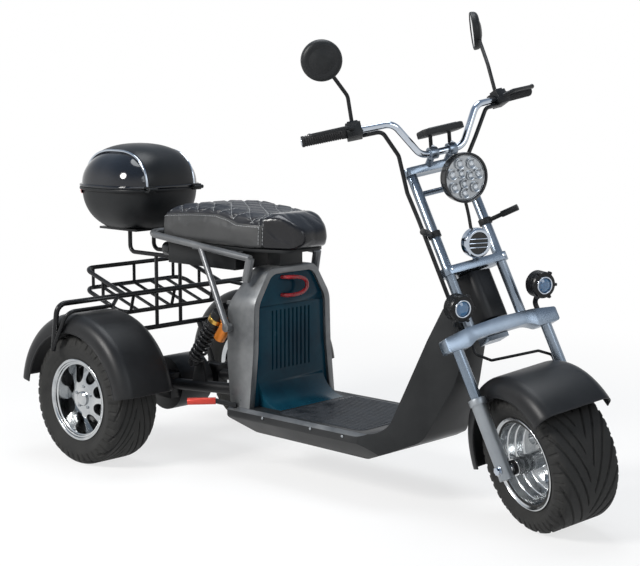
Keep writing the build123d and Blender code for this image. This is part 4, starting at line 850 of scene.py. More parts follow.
def buildStitching(pad):
    bpy.context.view_layer.update()
    lines = []
    reach = seat["quiltHalf"] / 1000
    for way in (1, -1):
        for index in seat["lines"]:
            path = []
            for around in np.linspace(-reach, reach, seat["linePoints"]):
                run = index * seat["quilt"] / 1000 - way * seat["slant"] * around
                if seat["quiltFrom"] / 1000 < run < seat["quiltTo"] / 1000 - seat["lineShort"]:
                    path.append(Vector((axleX + run, around, seamHeight(run) + seat["lineAbove"])))
            if len(path) > 3:
                lines.append(path)
    across = np.linspace(-seat["crossReach"], seat["crossReach"], seat["crossPoints"])
    for shift in seat["crossRows"]:
        edge = axleX + (seat["quiltTo"] + shift) / 1000
        lines.append([Vector((edge, around, seat["core"])) for around in across])
    paths = laidThreads(pad, lines)
    for side in (1, -1):
        for run in np.arange(*seat["seamRun"]):
            casts = []
            for part in range(3):
                x = run + part * seat["seamStitch"]
                start = Vector((axleX + x, side * seat["castFrom"], seamHeight(x) - seat["seamBelow"]))
                casts.append((start, -side * toLeft))
            paths.append(laid(pad, casts))
    paths = [path for path in paths if len(path) == 3]
    piece = threads("seatStitching", paths, seat["thread"], 8)
    finished(piece, "chassis", "thread", slot="seat_leather")


pad = buildCushion()
buildStitching(pad)
print("cushion sewn,", len(pad.data.polygons), "faces")


# Lamps: headlight cells, horn louvres, spot lamp fins and lenses

lampWay = forkWay(math.cos(rake), 0, -math.sin(rake))
headlight = {
    "spot": (189, 0, 857), "cellSize": 14.5,
    "cells": [(7, 47.0, 17.5, 12.0), (3, 19.0, 15.0, 40.0)],  # count, ring, cell radius, first turn
    "plate": [(0.0, -0.0085, 0), (0.0700, -0.0085, 0), (0.0706, -0.0040, 0.001), (0.0680, -0.0030, 0.001),
              (0.0660, -0.0062, 0.001), (0.0, -0.0062, 0)],
    "cup": [(0.0, -0.0050, 0), (0.0060, -0.0046, 0.001), (0.0118, 0.0000, 0.002), (0.0136, 0.0010, 0.0008),
            (0.0145, 0.0002, 0.0006), (0.0145, -0.0062, 0)],
    "bulb": [(0.0, 0.0012, 0), (0.0034, 0.0006, 0.001), (0.0060, -0.0022, 0.002), (0.0064, -0.0046, 0)],
    "rim": [(0.0705, -0.004, 0), (0.0705, 0.0030, 0.001), (0.0735, 0.0042, 0.0012), (0.0768, 0.0020, 0.0012),
            (0.0768, -0.010, 0.001), (0.0755, -0.012, 0)],
}


def buildHeadlight():
    place = aimed(onFork(*headlight["spot"]), lampWay)
    plate = moved(discs("headlightPlate", headlight["plate"]), place)
    finished(plate, "steering", "lampSilver", "headlight_lens")
    places = []
    for count, ringRadius, cellRadius, first in headlight["cells"]:
        size = cellRadius / headlight["cellSize"]
        for index in range(count):
            turn = math.radians(first + 360 * index / count)
            spot = Vector((math.cos(turn), 0, math.sin(turn))) * ringRadius / 1000
            places.append(place @ Matrix.Translation(spot) @ Matrix.Diagonal((size, 1, size, 1)))
    cells = repeated(discs("headlightCell", headlight["cup"], 40), places, "headlightCells")
    finished(cells, "steering", "lampSilver", slot="lens")
    bulbs = repeated(discs("headlightBulb", headlight["bulb"], 32), places, "headlightBulbs")
    finished(bulbs, "steering", "lampWhite", slot="lens")
    rim = moved(discs("headlightRim", headlight["rim"], 96), place)
    finished(rim, "steering", "blackGloss", slot="gloss_black")


horn = {
    "spot": (116, 0, 668), "bars": 3, "barPitch": 13.0, "barReach": 34.0, "bar": (2.4, 3.2), "barEdge": 0.8,
    "barOut": 0.0030, "barTilt": 24.0,
    "ring": [(0.0330, 0.0010, 0), (0.0345, 0.0040, 0.001), (0.0400, 0.0052, 0.002), (0.0455, 0.0015, 0.002),
             (0.0470, -0.0060, 0.002), (0.0462, -0.0200, 0)],
    "back": [(0.0, 0.0008, 0), (0.0335, 0.0008, 0), (0.0340, -0.0010, 0)],
}


def buildHorn():
    place = aimed(onFork(*horn["spot"]), lampWay)
    back = moved(discs("hornBack", horn["back"], 48), place)
    finished(back, "steering", "blackGloss", slot="gloss_black")
    parts = [discs("hornRing", horn["ring"], 72)]
    tilt = Matrix.Rotation(math.radians(horn["barTilt"]), 4, "X")
    for index in range(horn["bars"]):
        height = (index - (horn["bars"] - 1) / 2) * horn["barPitch"]
        length = 2 * math.sqrt(horn["barReach"] ** 2 - height ** 2)
        bar = slab("hornBar", (length, *horn["bar"]), horn["barEdge"])
        parts.append(moved(bar, Matrix.Translation((0, horn["barOut"], height / 1000)) @ tilt))
    grille = moved(joined(parts, "hornGrille"), place)
    finished(grille, "steering", "chrome", slot="chrome")


spots = {
    "spot": (138, 148, 484), "fins": 6, "finFrom": -0.010, "finPitch": 0.0052, "lugs": 6, "lug": (12, 15, 9),
    "lugEdge": 2.0, "lugAt": (0.0400, -0.001, 0),
    "fin": [(0.0380, -0.0016, 0), (0.0412, -0.0016, 0.0005), (0.0412, 0.0016, 0.0005), (0.0380, 0.0016, 0)],
    "bezel": [(0.0225, 0.0010, 0), (0.0275, 0.0066, 0.002), (0.0385, 0.0050, 0.002), (0.0412, -0.0010, 0.002),
              (0.0412, -0.0060, 0.001), (0.0380, -0.0060, 0)],
    "lens": [(0.0, 0.0098, 0), (0.0120, 0.0086, 0.01), (0.0212, 0.0040, 0.004), (0.0226, 0.0010, 0)],
    "rim": [(0.0222, 0.0030, 0), (0.0232, 0.0082, 0.0015), (0.0268, 0.0082, 0.0015), (0.0280, 0.0050, 0)],
}


def buildSpots():
    n, y, s = spots["spot"]
    places = [aimed(onFork(n, side * y, s), lampWay) for side in (1, -1)]
    fin = discs("spotFin", spots["fin"], 56)
    bezel = discs("spotBezel", spots["bezel"], 56)
    lug = slab("spotLug", spots["lug"], spots["lugEdge"])
    drums = []
    for place in places:
        for index in range(spots["fins"]):
            back = Matrix.Translation((0, spots["finFrom"] - spots["finPitch"] * index, 0))
            drums.append(copied(fin, "spotFinCopy", place @ back))
        drums.append(copied(bezel, "spotBezelCopy", place))
        for index in range(spots["lugs"]):
            turn = Matrix.Rotation(2 * math.pi * index / spots["lugs"], 4, "Y")
            drums.append(copied(lug, "spotLugCopy", place @ turn @ Matrix.Translation(spots["lugAt"])))
    cleared(fin, bezel, lug)
    finished(joined(drums, "spotDrums"), "steering", "tubeBlack", slot="black_satin")
    rims = repeated(discs("spotRim", spots["rim"], 56), places, "spotRims")
    finished(rims, "steering", "chrome", slot="chrome")
    lenses = repeated(discs("spotLens", spots["lens"], 48), places, "spotLenses")
    finished(lenses, "steering", "blueLens", slot="lens")


buildHeadlight()
buildHorn()
buildSpots()
print("lamps fitted")


# Shocks: damper with a wound spring, a collar and end eyes

shock = {
    "foot": (222, 152, 345), "top": (372, 152, 556), "turns": 6.5, "coil": 0.0245, "wire": 0.0052,
    "coilSteps": 190, "coilFoot": 0.037, "coilTop": 0.093,
    # rows from the foot, then rows from the top
    "lower": [(0.0, 0.010, 0), (0.0090, 0.010, 0), (0.0090, 0.022, 0), (0.0280, 0.022, 0.002),
              (0.0300, 0.026, 0.002), (0.0290, 0.032, 0.002), (0.0150, 0.034, 0.001)],
    "upper": [(0.0150, -0.092, 0.001), (0.0285, -0.090, 0.002), (0.0285, -0.082, 0.002),
              (0.0240, -0.080, 0.001), (0.0240, -0.022, 0.003), (0.0120, -0.014, 0.002), (0.0, -0.010, 0)],
    "collar": [(0.0242, -0.066, 0), (0.0262, -0.064, 0.001), (0.0262, -0.050, 0.001), (0.0242, -0.048, 0)],
    "eye": [(0.0083, -0.013, 0), (0.0150, -0.013, 0.001), (0.0170, -0.010, 0.001), (0.0170, 0.010, 0.001),
            (0.0150, 0.013, 0.001), (0.0083, 0.013, 0)],
}


def buildShocks():
    length = (at(*shock["top"]) - at(*shock["foot"])).length

    def fromTop(rows):
        return [(radius, length + along, corner) for radius, along, corner in rows]

    damper = discs("shockDamper", shock["lower"] + fromTop(shock["upper"]))
    collar = discs("shockCollar", fromTop(shock["collar"]))
    eye = discs("shockEye", shock["eye"], 40)
    run = length - shock["coilFoot"] - shock["coilTop"]
    turns = np.linspace(0, shock["turns"] * 2 * math.pi, shock["coilSteps"])
    coilPath = [Vector((shock["coil"] * math.cos(turn), shock["coilFoot"] + run * turn / turns[-1],
                        shock["coil"] * math.sin(turn))) for turn in turns]
    coil = tubeAlong("shockCoil", coilPath, shock["wire"], 12)
    for side, name in ((1, "left"), (-1, "right")):
        foot, top = [at(x, side * y, z) for x, y, z in (shock["foot"], shock["top"])]
        place = aimed(foot, top - foot, side * toLeft)
        dark = [copied(damper, "shockDamperCopy", place)]
        dark += [copied(eye, "shockEyeCopy", aimed(spot, toLeft)) for spot in (foot, top)]
        finished(joined(dark, "shockBody_" + name), "chassis", "satinBlack", "shock_" + name)
        finished(copied(coil, "shockSpring_" + name, place), "chassis", "tubeBlack", slot="black_satin")
        finished(copied(collar, "shockRing_" + name, place), "chassis", "goldMetal", slot="orange_metal")
    cleared(damper, collar, eye, coil)


buildShocks()
print("shocks wound")


# Handlebar ends: ribbed grips, ball levers, mirrors and the display face

barEnd = Vector((66, 407, 1121))
gripRun = Vector((-90, 257, 35)).normalized()
grip = {
    "length": 0.130, "radius": 0.0168, "valley": 0.0152, "ribs": 17, "plainEnds": 0.014, "ribFrom": -0.002,
    "start": [(0.0113, 0.0085, 0), (0.0155, 0.0085, 0.0015), (0.0170, 0.0065, 0.001), (0.0170, 0.0005, 0.001)],
    # size, share of a rib's pitch and corner
    "rib": [("valley", 0.0, 0.0006), ("valley", 0.3, 0.0006), ("radius", 0.42, 0.0008),
            ("radius", 0.88, 0.0008)],
    "end": [(0.0170, 0.008, 0.001), (0.0170, 0.0, 0.001), (0.0113, 0.0, 0)],
    "cap": [(0.0, 0.0112, 0), (0.0090, 0.0106, 0.002), (0.0135, 0.0088, 0.001), (0.0140, 0.0060, 0)],
}


def buildGrips():
    pitch = (grip["length"] - grip["plainEnds"]) / grip["ribs"]
    rows = list(grip["start"])
    for index in range(grip["ribs"]):
        base = grip["ribFrom"] - index * pitch
        rows += [(grip[size], base - share * pitch, corner) for size, share, corner in grip["rib"]]
    rows += [(radius, along - grip["length"], corner) for radius, along, corner in grip["end"]]
    sleeve = smoothed(turned("gripSleeve", profile(rows, 2), 48), 45)
    places = []
    for side, name in ((1, "grip_left"), (-1, "grip_right")):
        spot = onFork(barEnd.x, side * barEnd.y, barEnd.z)
        places.append(aimed(spot, forkWay(gripRun.x, side * gripRun.y, gripRun.z)))
        finished(copied(sleeve, name + "_sleeve", places[-1]), "steering", "gripRubber", name)
    cleared(sleeve)
    caps = repeated(discs("gripCap", grip["cap"], 40), places, "gripCaps")
    finished(caps, "steering", "chrome", slot="chrome")


mirrors = {
    # middle of each head, and the way its back looks
    "heads": [((30, 338.5, 1373.6), 62.0), ((225, -338.5, 1301.6), -24.0)], "glassBehind": 12.2,
    "glass": [(0.0, 0.0012, 0), (0.0570, 0.0006, 0.0005), (0.0576, -0.0010, 0.0005), (0.0, -0.0010, 0)],
    "rim": [(0.0565, -0.0005, 0), (0.0570, 0.0024, 0.0008), (0.0610, 0.0026, 0.001), (0.0624, 0.0000, 0.001),
            (0.0624, -0.0060, 0.001), (0.0612, -0.0070, 0)],
    "back": [(0.0, 0.0185, 0), (0.0200, 0.0172, 0.03), (0.0450, 0.0100, 0.03), (0.0600, -0.0040, 0.01),
             (0.0626, -0.0110, 0.002), (0.0600, -0.0116, 0)],
}


def buildMirrors():
    faces, backs = [], []
    for spot, look in mirrors["heads"]:
        turn = Matrix.Rotation(rake, 3, "Y") @ Matrix.Rotation(math.radians(look), 3, "Z")
        back = turn @ Vector((1, 0, 0))
        faces.append(aimed(onFork(*(Vector(spot) - back * mirrors["glassBehind"])), forkWay(*(-back))))
        backs.append(aimed(onFork(*spot), forkWay(*back)))
    glasses = repeated(discs("mirrorGlass", mirrors["glass"]), faces, "mirrorGlasses")
    finished(glasses, "steering", "mirrorGlass", slot="chrome")
    rims = repeated(discs("mirrorRim", mirrors["rim"]), faces, "mirrorRims")
    finished(rims, "steering", "mouldedBlack", slot="black_plastic")
    domes = repeated(discs("mirrorBack", mirrors["back"], 72), backs, "mirrorBacks")
    finished(domes, "steering", "mouldedBlack", slot="black_plastic")


controls = {
    "at": -153.3, "lid": (30, 34, 9), "lidEdge": 2.0, "lidMiddle": (4, -23.5), "leverFoot": (44, 26),
    "leverTip": (38, -18), "ballTip": -16, "screwUp": -28.0, "screwHalf": (8, 10), "screw": (2.6, 2.0),
    "ball": [(0.0, 0.0085, 0), (0.0050, 0.0075, 0.004), (0.0083, 0.0, 0.004), (0.0062, -0.0060, 0.002),
             (0.0056, -0.0120, 0)],
}


def buildControls():
    right = (Vector((1, 0, 0)) - gripRun * gripRun.x).normalized()
    down = gripRun.cross(right)
    lids, balls, screws = [], [], []
    for side in (1, -1):
        def spot(a, b, c):
            place = barEnd + right * a + down * b + gripRun * c
            return onFork(place.x, side * place.y, place.z)

        way = forkWay(gripRun.x, side * gripRun.y, gripRun.z)
        up = forkWay(-down.x, -side * down.y, -down.z)
        out, high = controls["lidMiddle"]
        lids.append(aimed(spot(out, high, controls["at"]), way, up))
        tip, along = controls["leverTip"]
        foot, inward = controls["leverFoot"]
        reach = spot(tip, 0, along) - spot(foot, 0, controls["at"] + inward)
        balls.append(aimed(spot(tip, 0, controls["ballTip"]), reach))
        wide, long = controls["screwHalf"]
        for end in (-1, 1):
            screws.append((spot(out + end * wide, controls["screwUp"], controls["at"] + end * long), up))
    covers = repeated(slab("controlLid", controls["lid"], controls["lidEdge"]), lids, "controlLids")
    finished(covers, "steering", "blackGloss", slot="black_plastic")
    knobs = repeated(discs("leverBall", controls["ball"], 32), balls, "leverBalls")
    finished(knobs, "steering", "blackGloss", slot="black_plastic")
    setBolts("controlScrews", screws, *controls["screw"], "steering", "chrome", "chrome")


display = {"spot": (150, 0, 1034), "tip": 9.7, "rise": 10.4, "screen": (44, 100, 3), "edge": 1.2}


def buildDisplay():
    turn = math.radians(display["tip"])
    lean = Vector((math.sin(turn), 0, math.cos(turn)))
    place = aimed(onFork(*(Vector(display["spot"]) + lean * display["rise"])), wheelAcross, forkWay(*lean))
    screen = moved(slab("displayScreen", display["screen"], display["edge"], 3), place)
    finished(screen, "steering", "screenGlass", slot="gloss_black")


buildGrips()
buildMirrors()
buildControls()
buildDisplay()
print("handlebar dressed")


# Fender beads, floor ribs, bolts and small fittings

beads = {
    "radius": 0.0030, "inset": 0.002, "steps": 72,
    "fenders": {
        # name: body, place, crown, width, skirt, from, to
        "fenderBeadLeft": ("chassis", leftPlace, 0.302, 0.236, 0.062, 9.0, 171.0),
        "fenderBeadRight": ("chassis", Matrix.Translation(rightPlace.translation), 0.302, 0.236, 0.062,
                            9.0, 171.0),
        "fenderBeadFront": ("steering", frontPlace, 0.270, 0.262, 0.056, 19.3, 169.3),
    },
}


def buildBeads():
    for name, (body, place, crown, width, skirt, low, high) in beads["fenders"].items():
        reach, half = crown - skirt, width / 2 - beads["inset"]
        turns = np.radians(np.linspace(low, high, beads["steps"]))
        paths = [[place @ Vector((reach * math.cos(turn), side * half, reach * math.sin(turn)))
                  for turn in turns] for side in (1, -1)]
        finished(threads(name, paths, beads["radius"], 12), body, "satinBlack", slot="black_satin")


mat = {"from": 690, "to": 1040, "half": 176, "ribs": 23, "width": 5.0, "top": 236.0, "lift": 0.4, "height": 2.4,
       "edge": 1.1}


def buildMatRibs():
    rib = slab("matRib", (mat["to"] - mat["from"], mat["width"], mat["height"]), mat["edge"])
    middle, high = (mat["from"] + mat["to"]) / 2, mat["top"] + mat["lift"]
    across = np.linspace(-mat["half"], mat["half"], mat["ribs"])
    ribs = repeated(rib, [Matrix.Translation(at(middle, y, high)) for y in across], "matRibs")
    finished(ribs, "chassis", "matRubber", slot="mat_rubber")


bolts = {
    # radius and height of each kind, and where they sit
    "tub": (5.0, 4.0), "tubSide": 225.2, "tubSpots": [(640, 216), (860, 216), (1000, 214)],
    "hub": (6.5, 9.0), "hubNuts": 5, "hubRing": 0.039, "hubTurn": 0.3, "hubOut": 0.0582,
    "axle": (13.0, 11.0), "axleSide": 184.2,
    "yoke": (7.0, 6.0), "yokeSide": 93.5, "yokeTop": 964.2, "yokeFront": (73.3, 620),
    "clamp": (4.5, 5.0), "clampMiddle": 116, "clampHalf": 12, "clampSide": 34, "clampTop": 996.5,
    "clampLean": 0.25,
}


def buildBolts():
    sides = (1, -1)
    tubSpots = [(at(x, side * bolts["tubSide"], z), toLeft * side)
                for side in sides for x, z in bolts["tubSpots"]]
    setBolts("tubBolts", tubSpots, *bolts["tub"], "chassis", "castSilver", "silver")
    for side, name, place in ((1, "rear_wheel_left", leftPlace), (-1, "rear_wheel_right", rightPlace)):
        middle = place.translation + toLeft * side * bolts["hubOut"]
        nuts = []
        for index in range(bolts["hubNuts"]):
            turn = 2 * math.pi * index / bolts["hubNuts"] + bolts["hubTurn"]
            spot = middle + Vector((math.cos(turn), 0, math.sin(turn))) * bolts["hubRing"]
            nuts.append((spot, toLeft * side))
        setBolts("hubNuts_" + name, nuts, *bolts["hub"], name, "castSilver", "chrome")
    axleNuts = [(onFork(axleAhead, side * bolts["axleSide"], 0), forkWay(0, side, 0)) for side in sides]
    setBolts("axleNuts", axleNuts, *bolts["axle"], "steering", "chrome", "chrome")
    yokeBolts = []
    for side in sides:
        n, s = bolts["yokeFront"]
        yokeBolts.append((onFork(axleAhead, side * bolts["yokeSide"], bolts["yokeTop"]), forkWay(0, 0, 1)))
        yokeBolts.append((onFork(n, side * bolts["yokeSide"], s), forkWay(1, 0, 0)))
    setBolts("yokeBolts", yokeBolts, *bolts["yoke"], "steering", "chrome", "chrome")
    clamps = []
    for side in sides:
        for end in (1, -1):
            n = bolts["clampMiddle"] + bolts["clampHalf"] * end
            spot = onFork(n, side * bolts["clampSide"], bolts["clampTop"])
            clamps.append((spot, forkWay(bolts["clampLean"] * end, 0, 1)))
    setBolts("clampBolts", clamps, *bolts["clamp"], "steering", "chrome", "chrome")


tail = {
    "spot": (10.4, -86, 727.7),
    "lens": [(0.0, 0.0060, 0), (0.0100, 0.0055, 0.008), (0.0200, 0.0030, 0.003), (0.0225, -0.0004, 0)],
}


def buildTailLens():
    lens = moved(discs("tailLens", tail["lens"], 48), aimed(at(*tail["spot"]), Vector((-1, 0, 0))))
    finished(lens, "chassis", "redReflector", slot="red_plastic")


buildBeads()
buildMatRibs()
buildBolts()
buildTailLens()
print("small fittings on")


# Top box: domed lid with a raised middle band, rounded base, flanges and hinges

box = {
    "middle": -237.0, "half": (188.0, 194.0), "plan": 3.0, "swell": 2.3, "flange": 938.0, "wall": 0.004,
    "lidGrid": (288, 72), "lidHigh": 154.0, "lidLift": 1.0, "sideLow": 0.95,
    "band": 5.0 / 190, "bandHalf": 112.0, "bandSoft": 1.0,
    "trim": 0.0048, "trimSteps": 60, "trimOut": 1.5, "trimOver": (1.012, 1.01),
    "baseGrid": (240, 50), "baseDeep": 152.0, "baseReach": 176.0, "baseIn": -1.0, "sideRows": 0.72,
    # flanges and reflector: rows of reach out of the outline and height over the joint line
    "ringColumns": 240, "ringWall": 0.0012, "ringEdge": 0.0018, "reflectorArc": (0.33, 0.67),
    "lidFlange": [(-6, 0.6), (8, 0.6), (9, 5), (8, 10), (-1, 12), (-6, 12)],
    "baseFlange": [(-6, -11), (8, -11), (9, -5), (8, -0.2), (-6, -0.2)],
    "reflector": [(-4, -25), (4.5, -25), (7, -18), (6.5, -11.5), (-4, -11.5)],
    "hingeY": 112.0, "hingeOut": 18.0, "strap": (26, 34, 7), "strapEdge": 1.5, "strapIn": -0.016,
    "strapHigh": 0.0075,
    "barrel": [(0.0, -0.020, 0), (0.0070, -0.020, 0.001), (0.0070, 0.020, 0.001), (0.0, 0.020, 0)],
}


def boxPlan(turn, grow=0.0):
    power = 2 / box["plan"]
    x = (box["half"][0] + grow) * np.sign(np.cos(turn)) * np.abs(np.cos(turn)) ** power
    y = (box["half"][1] + grow) * np.sign(np.sin(turn)) * np.abs(np.sin(turn)) ** power
    return x, y


def boxWorld(x, y, z):
    return np.stack((axleX + (box["middle"] + x) / 1000, y / 1000, (box["flange"] + z) / 1000), axis=1)


def swellAt(level):
    return np.maximum(0, 1 - level ** box["swell"]) ** (1 / box["swell"])


def buildLid():
    def bend(u, v):
        level = np.sin(v * math.pi / 2)
        x, y = boxPlan(u * 2 * math.pi)
        width = swellAt(level)
        x, y = x * width, y * width
        onBand = 1 - step(np.abs(y), box["bandHalf"] - box["bandSoft"], box["bandHalf"] + box["bandSoft"])
        proud = 1 + box["band"] * onBand
        high = box["lidHigh"] * (box["sideLow"] + (1 - box["sideLow"]) * onBand)
        return boxWorld(x * proud, y, box["lidLift"] + level * high * proud)

    lid = shapedGrid("lidShell", *box["lidGrid"], bend)
    applyModifier(lid, "SOLIDIFY", thickness=box["wall"], offset=-1)
    finished(smoothed(lid, 50), "lid", "lidGloss", "box_lid")
    lid.data.materials.append(finishes["lidSatin"])
    for face in lid.data.polygons:
        if abs(face.center.y) < box["bandHalf"] / 1000:
            face.material_index = 1


def buildLidTrim():
    # a bright strip down each edge of the band
    power = box["plan"]
    share = box["bandHalf"] / box["half"][1]
    reach = box["half"][0] * (1 - share ** power) ** (1 / power)
    along = np.sin(np.linspace(-math.pi / 2, math.pi / 2, box["trimSteps"])) * reach
    spread = ((np.abs(along) / box["half"][0]) ** power + share ** power) ** (1 / power)
    high = box["lidHigh"] * swellAt(np.minimum(1.0, spread))
    overX, overZ = box["trimOver"]
    strips = []
    for side in (1, -1):
        across = np.full(len(along), side * (box["bandHalf"] + box["trimOut"]))
        strips.append([Vector(spot) for spot in boxWorld(along * overX, across, high * overZ)])
    finished(threads("lidTrim", strips, box["trim"], 12), "lid", "chrome", slot="chrome")


def buildBase():
    last = box["baseDeep"] / box["baseReach"]

    def bend(u, v):
        level = np.sin(np.minimum(v / box["sideRows"], 1.0) * math.asin(last))
        inward = np.clip((v - box["sideRows"]) / (1 - box["sideRows"]), 0, 1)
        x, y = boxPlan(u * 2 * math.pi, box["baseIn"])
        width = swellAt(level) * (1 - inward)
        return boxWorld(x * width, y * width, -level * box["baseReach"])

    base = shapedGrid("baseShell", *box["baseGrid"], bend)
    applyModifier(base, "SOLIDIFY", thickness=box["wall"], offset=-1)
    finished(smoothed(base, 50), "chassis", "mouldedBlack", "box_base")


def boxRing(name, rows, body, finish, slot, arc=(0.0, 1.0), replaced=()):
    # a strip of the given section laid round the box outline
    first, last = arc
    section = np.array(rows + rows[:1])

    def bend(u, v):
        row = section[np.clip(np.round(v * len(rows)).astype(int), 0, len(rows))]
        x, y = boxPlan((first + u * (last - first)) * 2 * math.pi)
        out = 1 + row[:, 0] / np.sqrt(x ** 2 + y ** 2)
        return boxWorld(x * out, y * out, row[:, 1])

    ring = shapedGrid(name, box["ringColumns"], len(rows), bend)
    if last - first < 1:
        applyModifier(ring, "SOLIDIFY", thickness=box["ringWall"], offset=-1)
    else:
        bevelled(ring, box["ringEdge"])
    finished(smoothed(ring, 45), body, finish, *replaced, slot=slot)


def buildHinges():
    barrel = discs("hingeBarrel", box["barrel"], 32)
    strap = slab("hingeStrap", box["strap"], box["strapEdge"])
    lower, upper, lowStraps = [], [], []
    for side in (1, -1):
        spot = at(box["middle"] + box["half"][0] + box["hingeOut"], side * box["hingeY"], box["flange"])
        down, up = [Matrix.Translation(spot + Vector((box["strapIn"], 0, way * box["strapHigh"])))
                    for way in (-1, 1)]
        lower.append(copied(barrel, "hingeBarrelCopy", Matrix.Translation(spot)))
        lowStraps.append(copied(strap, "hingeLowCopy", down))
        upper.append(copied(strap, "hingeHighCopy", up))
    cleared(barrel, strap)
    finished(joined(lower + lowStraps, "hingeLow"), "chassis", "mouldedBlack", slot="black_plastic")
    finished(joined(upper, "hingeHigh"), "lid", "mouldedBlack", slot="gloss_black")


buildLid()
buildLidTrim()
buildBase()
boxRing("lidFlange", box["lidFlange"], "lid", "lidGloss", "gloss_black")
boxRing("baseFlange", box["baseFlange"], "chassis", "mouldedBlack", "black_plastic")
boxRing("boxReflector", box["reflector"], "chassis", "redReflector", "red_plastic", box["reflectorArc"],
        ["box_reflector"])
buildHinges()
print("top box made")


# Wheels: stepped front dish, slotted rear faces, dark drums behind

def ringLoop(name, rows, steps=120):
    # a closed section spun into a ring
    return smoothed(turned(name, profile(rows + rows[:1]), steps), 32)


def roundPeg(radius, deep, spot):
    # a cylinder along Y, for cutting
    deselectAll()
    bpy.ops.mesh.primitive_cylinder_add(vertices=40, radius=radius, depth=deep, rotation=(math.pi / 2, 0, 0),
                                        location=spot)
    return bpy.context.object


def cutBy(piece, pegs):
    cutter = joined(pegs, "rimCutter")
    applyModifier(piece, "BOOLEAN", operation="DIFFERENCE", object=cutter, solver="EXACT")
    cleared(cutter)


rearRim = {
    "slots": 8, "slotWidth": 0.043, "slotIn": 0.080, "slotOut": 0.134, "slotFlare": 1.22, "slotDeep": 0.08,
    "slotMiddle": 0.05, "edge": 0.0014,
    "barrel": [(0.1210, -0.0880, 0), (0.1440, -0.0880, 0.002), (0.1440, -0.0832, 0), (0.1271, -0.0832, 0.001),
               (0.1271, 0.0832, 0.001), (0.1440, 0.0832, 0), (0.1445, 0.0872, 0.002), (0.1395, 0.0892, 0.002),
               (0.1345, 0.0872, 0.002), (0.1300, 0.0780, 0.004), (0.1225, 0.0740, 0.002),
               (0.1210, 0.0260, 0.002)],
    "face": [(0.0260, 0.0600, 0), (0.0500, 0.0590, 0.003), (0.0660, 0.0550, 0.010), (0.1215, 0.0330, 0.002),
             (0.1215, 0.0180, 0.002), (0.0640, 0.0400, 0.004), (0.0260, 0.0440, 0)],
    "hub": [(0.0, 0.0705, 0), (0.0200, 0.0700, 0.003), (0.0255, 0.0660, 0.002), (0.0262, 0.0590, 0.001),
            (0.0262, 0.0440, 0)],
    "stub": [(0.0005, -0.2110, 0), (0.0170, -0.2110, 0.001), (0.0170, -0.0420, 0), (0.0520, -0.0415, 0.002),
             (0.0520, 0.0450, 0.001), (0.0005, 0.0450, 0)],
    "drum": [(0.0500, 0.0000, 0), (0.1190, 0.0000, 0.003), (0.1190, 0.0120, 0.003), (0.0900, 0.0150, 0.003),
             (0.0500, 0.0160, 0)],
}


def buildRearRims():
    barrel = ringLoop("rimBarrel", rearRim["barrel"])
    face = ringLoop("rimFace", rearRim["face"], 160)
    pegs = []
    for index in range(rearRim["slots"]):
        spot = (rearRim["slotIn"], rearRim["slotMiddle"], 0)
        peg = roundPeg(rearRim["slotWidth"] / 2, rearRim["slotDeep"], spot)
        for vertex in peg.data.vertices:
            if vertex.co.x > 0:
                vertex.co.x += rearRim["slotOut"] - rearRim["slotIn"]
                vertex.co.y *= rearRim["slotFlare"]
        turn = Matrix.Rotation(2 * math.pi * (index + 0.5) / rearRim["slots"], 4, "Y")
        pegs.append(moved(peg, turn @ peg.matrix_world))
    cutBy(face, pegs)
    bevelled(face, rearRim["edge"], 2, 50)
    smoothed(face, 32)
    hub = discs("rimHub", rearRim["hub"])
    stub = ringLoop("rimStub", rearRim["stub"], 64)
    drum = ringLoop("rimDrum", rearRim["drum"])
    for side, place in (("left", leftPlace), ("right", rightPlace)):
        wheel = "rear_wheel_" + side
        bright = [copied(part, "rimCopy", place) for part in (barrel, face, hub)]
        finished(joined(bright, "rim_" + side), wheel, "polishedAlloy", "rim_rear_" + side)
        dark = [copied(part, "rimDarkCopy", place) for part in (drum, stub)]
        finished(joined(dark, "rimCore_" + side), wheel, "satinBlack", slot="black_satin")
    cleared(barrel, face, hub, stub, drum)


frontRim = {
    "holes": 6, "holeRadius": 0.017, "holeAt": 0.075, "holeDeep": 0.06,
    "half": [(0.1272, 0.0900, 0), (0.1435, 0.0925, 0.001), (0.1448, 0.0980, 0.0015), (0.1402, 0.0992, 0.0015),
             (0.1375, 0.0960, 0.003), (0.1270, 0.0880, 0.010), (0.1235, 0.0640, 0.004), (0.1205, 0.0620, 0.001),
             (0.1180, 0.0400, 0.004), (0.1140, 0.0380, 0.001), (0.1090, 0.0130, 0.008), (0.0520, 0.0100, 0.004),
             (0.0420, 0.0220, 0.003), (0.0285, 0.0220, 0)],
    # spacers on the axle: a bright tube and a dark bush on each side
    "tube": [(0.0195, 0.0230, 0), (0.0270, 0.0230, 0.0015), (0.0270, 0.1250, 0.0015), (0.0195, 0.1250, 0)],
    "bush": [(0.0195, 0.1252, 0), (0.0225, 0.1252, 0.001), (0.0225, 0.1375, 0.001), (0.0195, 0.1375, 0)],
}


